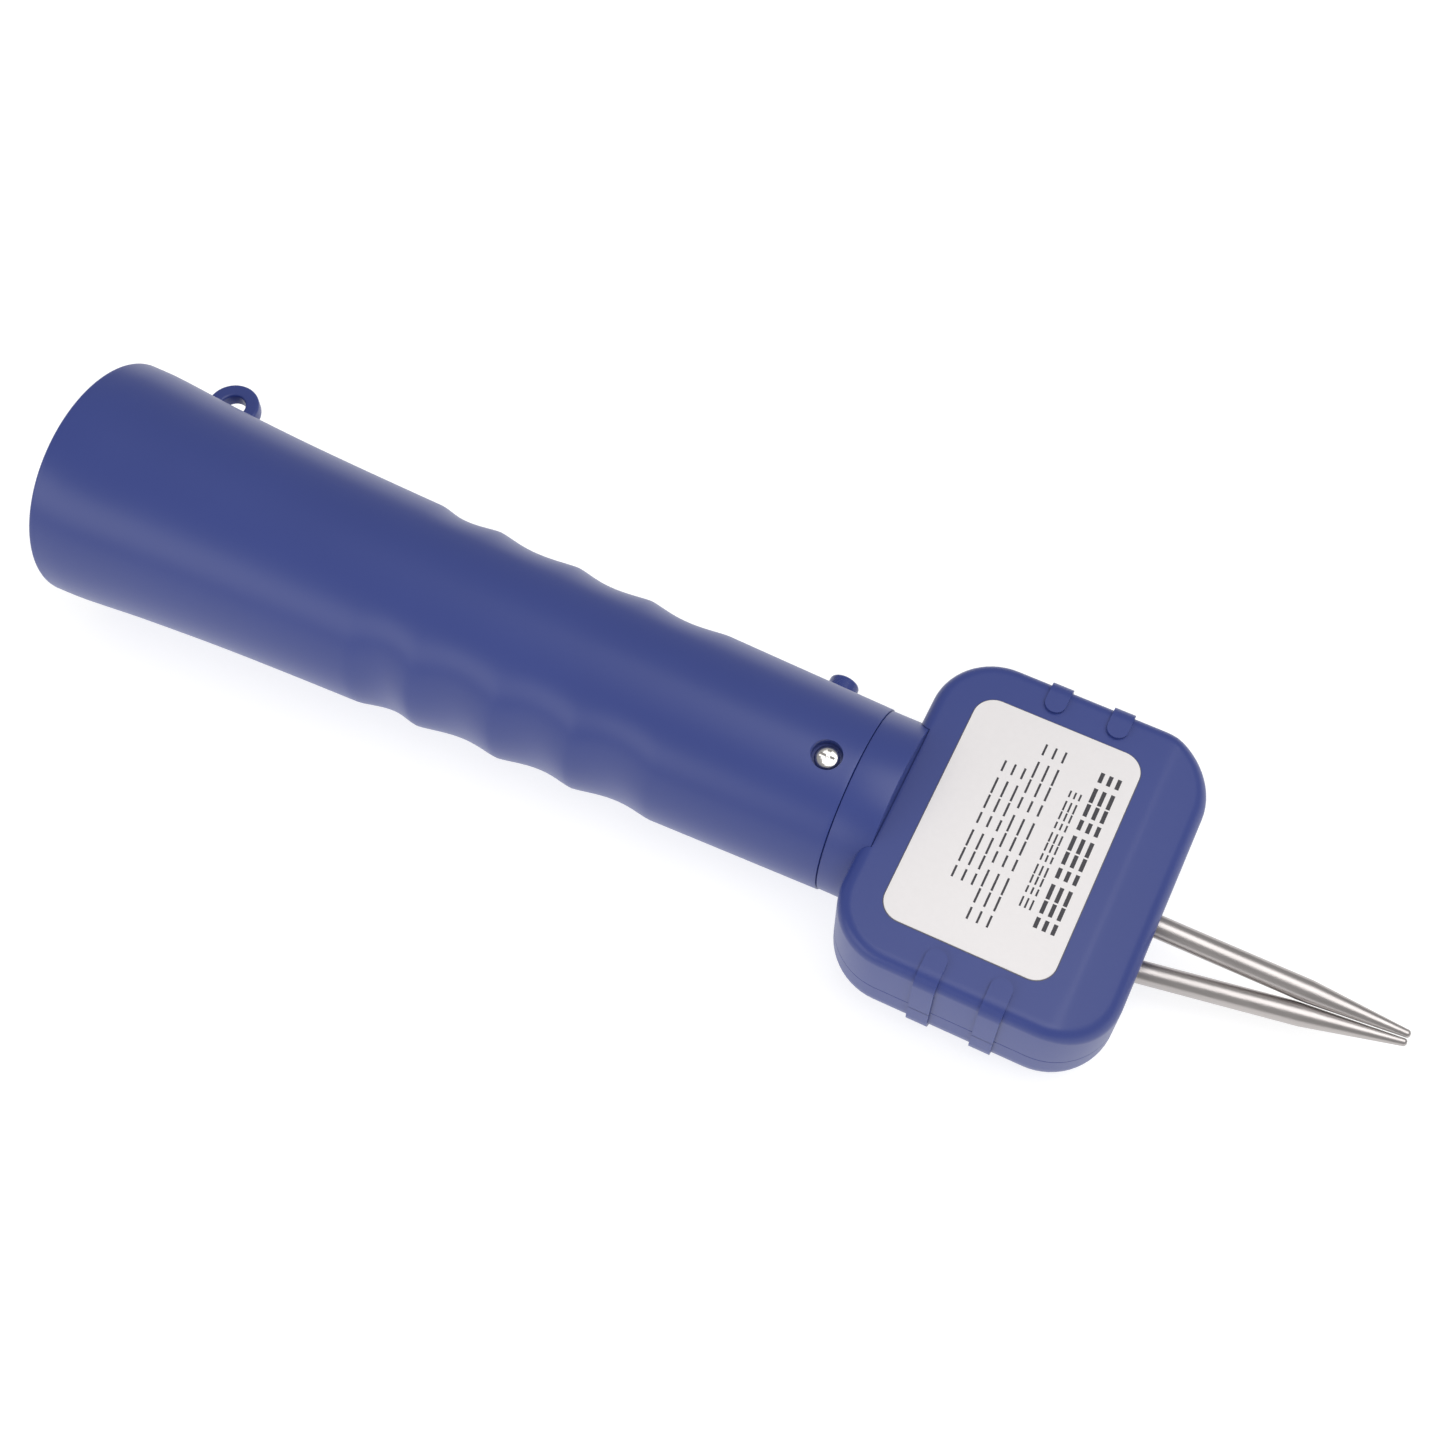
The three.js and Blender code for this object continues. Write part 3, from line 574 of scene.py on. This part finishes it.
def build_butt():
    """The cap in the flared end, with the charge socket and the charge light's lens."""
    face = STATION_X[0] + 0.6
    section = soft_path([
        (face, 0), (face, 27.2), (-204.4, 27.2), (-204.4, 25.9), (-198, 25.9), (-198, 23.9),
        (-204.4, 23.9), (-204.4, 0)], 0.4)
    cap = make_object("cap", turned(section, 192))
    lens_y = 12
    boolean(cap, combine(cylinder(-210, -190, 4.5), moved(cylinder(-210, -190, 1.8), shifted(y=lens_y))))
    finish_piece(cap, "housing", ["butt_cap"], material("body_plastic"))
    sleeve = soft_path([
        (face, 2.75), (face, 4.2), (-194, 4.2), (-194, 0), (-197, 0), (-197, 2.75), (face, 2.75)], 0.25)
    pin = soft_path([(-205, 0), (-205, 0.95), (-196, 0.95), (-196, 0)], 0.3)
    socket = make_object("socket", turned([
        *sleeve[:-1]], 64, wrap=True))
    boolean(socket, turned(pin, 48), "UNION")
    finish_piece(socket, "housing", ["charge_socket"], material("black_plastic"))
    lens = soft_path([(face - 0.1, 0), (face, 1.5), (-203, 1.5), (-203, 0)], 0.3)
    piece("lens", moved(turned(lens, 48), shifted(y=lens_y)), "housing", material("lens"),
          ["charge_lens"])


# ---------------------------------------------------------------- screws, collar and button

def pan_screw(head, height, shank, shank_radius=1.5):
    """A pan-head screw on the Z axis, its head resting on zero, as an object with a cross recess."""
    dome = np.linspace(0, np.pi / 2, 10)
    rim = 0.35 * height
    profile = np.vstack([
        [(-shank, 0), (-shank, shank_radius), (0, shank_radius), (0, head), (rim, head)],
        np.stack([rim + (height - rim) * np.sin(dome), 0.45 * head + 0.55 * head * np.cos(dome)], -1),
        [(height, 0)]])
    screw = make_object("screw", moved(turned(profile, 64), along_z))
    arm, reach, floor = 0.16 * head, 0.62 * head, 0.25 * height
    boolean(screw, block((-arm, -reach, floor), (arm, reach, height + 1)))
    boolean(screw, block((-reach, -arm, floor), (reach, arm, height + 1)))
    return boolean(screw, moved(turned([
        (0.1 * height, 0), (0.1 * height, arm), (height + 0.1, 0.36 * head), (height + 0.1, 0)], 4), along_z))


def put_screw(screw, name, change):
    """Takes a screw to its place and finishes it."""
    points = np.empty(len(screw.data.vertices) * 3)
    screw.data.vertices.foreach_get("co", points)
    own = (points.reshape(-1, 3) - np.array(ORIGIN)) / MM
    screw.data.vertices.foreach_set("co", (change(own) * MM + np.array(ORIGIN)).ravel())
    screw.name = name + "_fine"
    return finish_piece(screw, "housing", [name], material("screw_steel"))


def build_collar():
    """The neck collar: one closed section turned about the tool axis, with its holes."""
    section = soft_path([
        (SPIGOT_BACK, 16.6), (SPIGOT_BACK, 18.6), (SEAM, 18.6), (SEAM, COLLAR_RADIUS),
        (COLLAR_FRONT, COLLAR_RADIUS), (COLLAR_FRONT, 10.8), (13.1, 10.8),
        (13.1, 12.5), (15.6, 12.5), (15.6, 9.4), (8.3, 9.4), (8.3, 3.8), (5.3, 3.8), (5.3, 16.6),
        (SPIGOT_BACK, 16.6)], 0.2)
    collar = make_object("collar", turned(section[:-1], 192, wrap=True))
    holes = [moved(moved(cylinder(10, 20, 5.2), along_y), shifted(x=BUTTON_X))]
    for side in (1, -1):
        holes.append(moved(cylinder(4, 9, 1.8, 32), shifted(z=side * 6.6)))
        holes.append(moved(moved(cylinder(12, 20, 1.8, 32), along_z), screw_place(side)))
    boolean(collar, combine(*holes))
    finish_piece(collar, "housing", ["neck_collar"], material("body_plastic"))


def build_neck_screws():
    """The two screws that hold the collar's spigot in the handle."""
    for name, side in (("neck_screw_front", 1), ("neck_screw_rear", -1)):
        turn = screw_place(side)
        put_screw(pan_screw(2.9, 1.2, 4.6), name,
                  lambda points, turn=turn: turn(points + np.array([0, 0, SCREW_SEAT + 0.15])))


def build_button(sizes):
    """The push button: a turned stem with a flange below and a softly rounded top."""
    top, radius = sizes.button_top, sizes.button_radius
    rim = np.linspace(0, np.pi / 2, 8)
    profile = np.vstack([
        [(17, 0), (17, 4.8), (18, 4.8), (18, radius)],
        np.stack([top - 0.9 + 0.9 * np.sin(rim), radius - 0.9 + 0.9 * np.cos(rim)], -1), [(top, 0)]])
    piece("button", moved(moved(turned(profile, 72), along_y), shifted(x=BUTTON_X)), "button",
          material("button_plastic"), ["power_button"])


# ---------------------------------------------------------------- head

HEAD_BACK, HEAD_FRONT, FOLD_X, NOSE_SLOPE, FOLD_SOFT = 7.5, 73.5, 62, 0.33, 0.35
FLAT_INSET = 12.5                          # the faces are flat further in than this
RIB_X, RIB_HALF, RIB_INNER = (33.4, 48.5), 2.5, 32.3
POSTS = [(x, y) for x in (21.5, 60.5) for y in (27.5, -27.5)]
SCREW_FLOOR = -12.6
END_WALL_X = (70.2, 76)                    # the jaws' openings are cut between these
SLOT_HALF, SLOT_START, SLOT_END = 3.2, -10.35, -12.85


def plan_outline(back, front, half_width, corner, steps=16):
    """A rounded rectangle as points and outward normals: four quarter circles joined by straight lines."""
    quarter = np.linspace(0, np.pi / 2, steps)
    angle = (quarter[None, :] + np.arange(4)[:, None] * np.pi / 2).ravel()
    normal = np.stack([np.cos(angle), np.sin(angle)], -1)
    middle, half_length = (back + front) / 2, (front - back) / 2
    reach = np.array([half_length - corner, half_width - corner])
    signs = np.repeat(np.array([(1, 1), (-1, 1), (-1, -1), (1, -1)]), steps, axis=0)
    return signs * reach + np.array([middle, 0]) + corner * normal, normal


def head_top(x, top):
    """Height of the front face: flat, then falling away past the fold by a softened ramp."""
    return top - NOSE_SLOPE * FOLD_SOFT * np.logaddexp(0, (x - FOLD_X) / FOLD_SOFT)


def edge_rows(radius, grow, steps):
    """Inset and drop of a rounded edge, from the side wall to the face."""
    angle = np.linspace(0, np.pi / 2, steps)
    out = radius + grow
    return radius - out * np.cos(angle), radius - out * np.sin(angle)


def head_half(sizes, upper, grow=0.0, start=0.0, chamfer=0.0):
    """One half of the head grown by `grow`, closed by a flat face at height `start`: the plan outline
    moved in by each row's inset, at each row's height."""
    radius = sizes.front_edge if upper else sizes.rear_edge
    inset, drop = edge_rows(radius, grow, 12 if upper else 24)
    face = np.linspace(radius, FLAT_INSET, 24 if upper else 4)[1:]
    inset = np.concatenate([[FLAT_INSET, chamfer - grow, -grow], inset, face])
    full = sizes.top if upper else sizes.depth
    level = np.concatenate([[0, 0, 0], full - drop, np.full(len(face), full + grow)])
    away = 1 if upper else -1
    level[:3] = away * start + np.array([0, 0, chamfer])
    outline, normal = plan_outline(HEAD_BACK, HEAD_FRONT, sizes.half_width, sizes.corner)
    xy = outline[None] - inset[:, None, None] * normal[None]
    height = np.broadcast_to(level[:, None], xy.shape[:2]).copy()
    if upper:
        share = np.clip(level / (full - radius), 0, 1)[:, None]
        height += share * (head_top(xy[..., 0], full) - full)
    return grid(np.concatenate([xy, away * height[..., None]], -1))


def rib_bands():
    """Four upright bands that end in a half round towards the middle of the head."""
    half_turn = np.linspace(np.pi, FULL_TURN, 24)
    shapes = []
    for x in RIB_X:
        for side in (1, -1):
            round_end = np.stack([x + RIB_HALF * np.cos(half_turn),
                                  RIB_INNER + RIB_HALF + RIB_HALF * np.sin(half_turn)], -1)
            outline = np.vstack([round_end, [(x + RIB_HALF, 46), (x - RIB_HALF, 46)]]) * [1, side]
            shapes.append(prism(outline, -20, 20))
    return combine(*shapes)


def posts(radius, z0, z1):
    """A round post at each corner of the head."""
    post = moved(cylinder(z0, z1, radius, 40), along_z)
    return combine(*[moved(post, shifted(x, y)) for x, y in POSTS])


def jaw_openings(rear):
    """The openings in the head's end wall: a round one for the fixed jaw and, in the rear cover, a long
    one that leaves room for the moving jaw's swing."""
    tilt = turned_about_x(TILT)
    shapes = [moved(moved(cylinder(*END_WALL_X, 3.06), shifted(y=0.6)), tilt)]
    if rear:
        turn = np.linspace(0, np.pi, 24) - np.pi / 2
        upper = np.stack([SLOT_HALF * np.sin(turn), SLOT_START + SLOT_HALF * np.cos(turn)], -1)
        lower = upper * [-1, -1] + [0, SLOT_START + SLOT_END]
        slot = prism(np.vstack([upper, lower]), *END_WALL_X)
        shapes.append(moved((slot[0][:, [2, 1, 0]], slot[1]), tilt))
    return shapes


def head_cover(name, sizes, upper):
    """One cover of the head: outer half with its ribs, hollowed, opened for the collar and the jaws."""
    gap = 0 if upper else 0.2
    cover = make_object(name, head_half(sizes, upper, start=-gap if upper else gap, chamfer=0.25))
    ribs = make_object("ribs", rib_bands())
    boolean(ribs, head_half(sizes, upper, grow=sizes.rib_height, start=gap + 0.05), "INTERSECT")
    boolean(cover, ribs, "UNION")
    cavity = make_object("cavity", head_half(sizes, upper, grow=-sizes.wall, start=-1))
    boolean(cavity, cylinder(0, 12.8, 25.2, 96))
    boolean(cover, cavity)
    openings = [cylinder(-5, COLLAR_FRONT + SEAM, COLLAR_RADIUS + SEAM, 192),
                cylinder(5, 14, 11.1, 96), cylinder(12.8, 15.9, 12.8, 96)]
    for opening in openings + jaw_openings(not upper):
        boolean(cover, opening)
    if upper:
        boolean(cover, posts(3.5, 0, 13.4), "UNION")
        boolean(cover, posts(1.8, -1, 9))
    else:
        boolean(cover, posts(4.8, -13.6, -gap), "UNION")
        boolean(cover, posts(1.8, -20, 1))
        boolean(cover, posts(3.1, -20, SCREW_FLOOR))
    return cover


def build_head(sizes):
    """Both covers and the four screws that hold them together."""
    for name, upper in (("front_cover", True), ("rear_cover", False)):
        cover = head_cover(name + "_fine", sizes, upper)
        finish_piece(cover, "housing", [name], material("body_plastic"))
    for number, (x, y) in enumerate(POSTS, 1):
        flip = turned_about_x(math.pi)
        put_screw(pan_screw(2.8, 1.8, 18), f"cover_screw_{number}",
                  lambda points, x=x, y=y: flip(points) + np.array([x, y, SCREW_FLOOR - 0.1]))


# ---------------------------------------------------------------- label

LABEL_X, LABEL_LENGTH, LABEL_WIDTH, LABEL_THICKNESS = 37.3, 40, 60, 0.2
# Rows of print, as (place along the tool, start, end, letter height, stroke, marks in the row).
PRINT_ROWS = [(51.6, 22.9, -20.2, 5.0, 0.95, 10), (45.9, 15.7, -15.5, 2.8, 0.42, 11),
              (37.9, 24.2, -24.9, 5.2, 0.5, 10), (31.1, 16.4, -17.0, 5.2, 0.5, 7)]


def label_plate(low, thickness, grow=0.0):
    """A thin rounded plate on the front face, its top edge very slightly rounded."""
    outline, normal = plan_outline(
        LABEL_X - LABEL_LENGTH / 2, LABEL_X + LABEL_LENGTH / 2, LABEL_WIDTH / 2, 5, 12)
    inset = np.array([0, 0, 0.1, 0.4]) * thickness - grow
    level = low + np.array([0, 0.6, 0.9, 1]) * thickness
    xy = outline[None] - inset[:, None, None] * normal[None]
    return grid(np.concatenate([xy, np.broadcast_to(level[:, None, None], (*xy.shape[:2], 1))], -1))


def build_label(sizes):
    """The label on a slightly larger dark sheet that paints the shadow round its edge, and rows of plain bars
    that stand for print.
    """
    film = label_plate(sizes.top + 0.05, LABEL_THICKNESS)
    piece("label_plate", film, "housing", material("label_film"), ["label"])
    # A slightly larger dark sheet under the label: painted shadow round its edge.
    painted_shadow_sheet = label_plate(sizes.top + 0.01, 0.03, grow=0.22)
    piece("label_painted_shadow", painted_shadow_sheet, "housing", material("label_painted_shadow"))
    low = sizes.top + 0.05 + LABEL_THICKNESS
    bars = []
    for x, start, end, height, stroke, marks in PRINT_ROWS:
        pitch = (start - end) / marks
        for mark in range(marks):
            left = start - mark * pitch
            width = pitch * (0.62 + 0.14 * ((mark * 5) % 3))
            for level in (-0.5, 0.0, 0.5):
                middle = x + level * (height - stroke)
                bars.append(block((middle - stroke / 2, left - width, low - 0.01),
                                  (middle + stroke / 2, left, low + 0.02)))
    piece("label_print", combine(*bars), "housing", material("label_ink"))


# ---------------------------------------------------------------- jaws

FIXED_Y, TIP_GAP, SPREAD = 0.6, 1.8, 0.158


def jaw_blank(sizes, length_mm, keep_above, lean, tip_y):
    """One jaw in the jaws' plane: a round bar with a long tapered end, leant over, and pressed flat
    where it would pass the plane in which the closed jaws meet."""
    body = np.linspace(-length_mm + 0.4, -sizes.taper, 60)
    taper = np.linspace(-sizes.taper, -0.6, 70)[1:]
    narrowing = sizes.radius + (sizes.tip_radius - sizes.radius) * (taper + sizes.taper) / (sizes.taper - 0.6)
    profile = np.vstack([
        [(-length_mm, 0), (-length_mm, sizes.radius - 0.4)],
        np.stack([body, np.full_like(body, sizes.radius)], -1), np.stack([taper, narrowing], -1),
        [(-0.3, 0.88 * sizes.tip_radius), (0, 0.5 * sizes.tip_radius), (0, 0)]])
    points, faces = turned(profile, 72)
    c, s = math.cos(lean), math.sin(lean)
    points = points @ np.array([[c, s, 0], [-s, c, 0], [0, 0, 1]]) + np.array([sizes.tip_x, tip_y, 0])
    meeting = FIXED_Y - TIP_GAP / 2 + SPREAD / 2 * (points[:, 0] - sizes.tip_x)
    if keep_above:
        points[:, 1] = np.maximum(points[:, 1], meeting + FIT / 2)
    else:
        points[:, 1] = np.minimum(points[:, 1], meeting - FIT / 2)
    return turned_about_x(TILT)(points), faces


def build_jaws(sizes):
    """The fixed jaw and the moving jaw."""
    steel = material("jaw_steel")
    fixed = jaw_blank(sizes, sizes.tip_x - 50, True, 0, FIXED_Y)
    piece("jaw_fixed", fixed, "housing", steel, ["fixed_jaw"])
    lean = math.atan(SPREAD)
    moving = jaw_blank(sizes, (sizes.tip_x - 54) / math.cos(lean), False, lean, FIXED_Y - TIP_GAP)
    piece("jaw_moving", moving, "jaw_arm", steel, ["moving_jaw"])


# ---------------------------------------------------------------- inner pieces and studio

INNER = {
    "cell_wrap": ["battery_cell_1", "battery_cell_2", "battery_cell_3"],
    "black_plastic": ["cell_spacer_front", "cell_spacer_rear", "tact_switch"],
    "motor_steel": ["motor_can"],
    "cast_alloy": ["gearbox", "jaw_block", "jaw_rocker"],
    "screw_steel": ["motor_screw_1", "motor_screw_2", "fixed_jaw_grub_screw", "moving_jaw_grub_screw",
                    "cam_grub_screw"],
    "jaw_steel": ["pivot_pin", "output_shaft", "eccentric_cam"],
    "circuit_board": ["control_board"],
    "red_wire": ["battery_lead_red", "motor_lead_red"],
    "black_wire": ["battery_lead_black", "charge_lead", "motor_lead_black"],
}


def dress_inner_pieces():
    """Gives each inner piece of the frame its finish."""
    for name, nodes in INNER.items():
        for node in nodes:
            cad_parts[node].material_slots[0].material = material(name)


def build_floor(settings):
    """A pale floor from the lowest line of the flared end up to the front edge of the head's underside. It
    cuts into the underside of the handle and the collar between them, by 3.8 mm at most."""
    flare_x, flare_bottom, slope = -206.8, -30.5, 0.0552
    half = 3000
    corners = np.array([(-half, -half), (half, -half), (half, half), (-half, half)], float)
    height = flare_bottom + slope * (corners[:, 0] - flare_x)
    points = np.column_stack([corners, height]) * MM + np.array(ORIGIN)
    mesh = bpy.data.meshes.new("floor")
    mesh.from_pydata(points.tolist(), [], [[0, 1, 2, 3]])
    floor = bpy.data.objects.new("floor", mesh)
    bpy.context.scene.collection.objects.link(floor)
    finish = Finish("floor", roughness=0.9, emission_strength=settings.floor_glow)
    finish.shader.inputs["Emission Color"].default_value = (1, 1, 1, 1)
    rgb = tuple(settings.floor_shade)
    mesh.materials.append(finish.surface(finish.blend(finish.noise(8, 2), shade(rgb, 0.995), rgb)))


def point_at(obj, place, target):
    """Puts a light at a place, looking at a target."""
    obj.location = place
    obj.rotation_euler = (Vector(target) - Vector(place)).to_track_quat("-Z", "Y").to_euler()


def soft_light(name, place, target, size, power):
    """A large rectangular area light."""
    light = bpy.data.lights.new(name, "AREA")
    light.shape = "RECTANGLE"
    light.size, light.size_y = size
    light.energy = power
    lamp = bpy.data.objects.new(name, light)
    bpy.context.scene.collection.objects.link(lamp)
    point_at(lamp, place, target)


def build_camera(settings):
    """The camera, looking down on the tool from its jaws' side and very slightly rolled."""
    data = bpy.data.cameras.new("camera")
    data.lens, data.sensor_width = 50.57, 36
    camera = bpy.data.objects.new("camera", data)
    bpy.context.scene.collection.objects.link(camera)
    target = ORIGIN + Vector((-36.7, 4.75, 0)) * MM
    forward = Vector((-0.2097, 0.4236, -0.8812)).normalized()
    right = Vector((0.89893, 0.43808, -0.00335)).normalized()
    turn = Matrix((right, right.cross(forward), -forward)).transposed()
    camera.location = target - forward * settings.camera_distance
    camera.rotation_euler = turn.to_euler()
    bpy.context.scene.camera = camera


def build_world(settings):
    """Even grey light from all round."""
    world = bpy.data.worlds.new("studio")
    world.use_nodes = True
    background = world.node_tree.nodes["Background"]
    background.inputs["Color"].default_value = (1, 1, 1, 1)
    background.inputs["Strength"].default_value = settings.sky
    bpy.context.scene.world = world
    bpy.context.scene.view_settings.view_transform = "Standard"


# ---------------------------------------------------------------- operators and panel

class BuildHandle(bpy.types.Operator):
    """Builds the handle tube and its lanyard loop"""

    bl_idname = "tweezers.build_handle"
    bl_label = "Handle and loop"

    def execute(self, context):
        build_handle(context.scene.tweezers_handle)
        build_loop(context.scene.tweezers_handle)
        return {"FINISHED"}


class BuildButt(bpy.types.Operator):
    """Builds the end cap, the charge socket and the charge light's lens"""

    bl_idname = "tweezers.build_butt"
    bl_label = "End cap"

    def execute(self, context):
        build_butt()
        return {"FINISHED"}


class BuildCollar(bpy.types.Operator):
    """Builds the neck collar and its two screws"""

    bl_idname = "tweezers.build_collar"
    bl_label = "Neck collar"

    def execute(self, context):
        build_collar()
        build_neck_screws()
        return {"FINISHED"}


class BuildButton(bpy.types.Operator):
    """Builds the push button"""

    bl_idname = "tweezers.build_button"
    bl_label = "Button"

    def execute(self, context):
        build_button(context.scene.tweezers_handle)
        return {"FINISHED"}


class BuildHead(bpy.types.Operator):
    """Builds the head's two covers and their screws"""

    bl_idname = "tweezers.build_head"
    bl_label = "Head"

    def execute(self, context):
        build_head(context.scene.tweezers_head)
        return {"FINISHED"}


class BuildLabel(bpy.types.Operator):
    """Builds the label and its plain print"""

    bl_idname = "tweezers.build_label"
    bl_label = "Label"

    def execute(self, context):
        build_label(context.scene.tweezers_head)
        return {"FINISHED"}


class BuildJaws(bpy.types.Operator):
    """Builds the two steel jaws"""

    bl_idname = "tweezers.build_jaws"
    bl_label = "Jaws"

    def execute(self, context):
        build_jaws(context.scene.tweezers_jaws)
        return {"FINISHED"}


class DressInside(bpy.types.Operator):
    """Gives the cells, motor, board, leads and mechanism their finishes"""

    bl_idname = "tweezers.dress_inside"
    bl_label = "Inner pieces"

    def execute(self, context):
        dress_inner_pieces()
        return {"FINISHED"}


class BuildStage(bpy.types.Operator):
    """Builds the floor, the lights and the camera"""

    bl_idname = "tweezers.build_stage"
    bl_label = "Stage"

    def execute(self, context):
        settings = context.scene.tweezers_studio
        build_world(settings)
        build_floor(settings)
        build_camera(settings)
        soft_light("overhead", ORIGIN + Vector((0.33, 0.1, 1.1)), ORIGIN, (0.95, 1.1), settings.overhead)
        soft_light("front", ORIGIN + Vector((-0.75, -1.05, 0.55)), ORIGIN, (1.4, 0.6), settings.front)
        return {"FINISHED"}


BUILDERS = (BuildHandle, BuildButt, BuildCollar, BuildButton, BuildHead, BuildLabel, BuildJaws,
            DressInside, BuildStage)
GROUPS = {"tweezers_handle": HandleSizes, "tweezers_head": HeadSizes, "tweezers_jaws": JawSizes,
          "tweezers_colours": Colours, "tweezers_studio": StudioSettings}


class TweezersPanel(bpy.types.Panel):
    """Lists the steps that build the tweezers"""

    bl_idname = "VIEW3D_PT_tweezers"
    bl_label = "Plucking Tweezers"
    bl_space_type = "VIEW_3D"
    bl_region_type = "UI"
    bl_category = "Tweezers"

    def draw(self, context):
        for builder in BUILDERS:
            self.layout.operator(builder.bl_idname)
        for name, group in GROUPS.items():
            box = self.layout.box()
            for field in group.__annotations__:
                box.prop(getattr(context.scene, name), field)


def register():
    """Registers the classes and puts the settings on the scene."""
    for group in GROUPS.values():
        bpy.utils.register_class(group)
    for name, group in GROUPS.items():
        setattr(bpy.types.Scene, name, bpy.props.PointerProperty(type=group))
    for builder in BUILDERS:
        bpy.utils.register_class(builder)
    bpy.utils.register_class(TweezersPanel)


def unregister():
    """Takes the settings off the scene and unregisters the classes."""
    bpy.utils.unregister_class(TweezersPanel)
    for builder in reversed(BUILDERS):
        bpy.utils.unregister_class(builder)
    for name in GROUPS:
        delattr(bpy.types.Scene, name)
    for group in reversed(GROUPS.values()):
        bpy.utils.unregister_class(group)


def main():
    """Registers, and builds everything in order."""
    register()
    for builder in BUILDERS:
        module, name = builder.bl_idname.split(".")
        getattr(getattr(bpy.ops, module), name)()


if __name__ == "__main__":
    main()
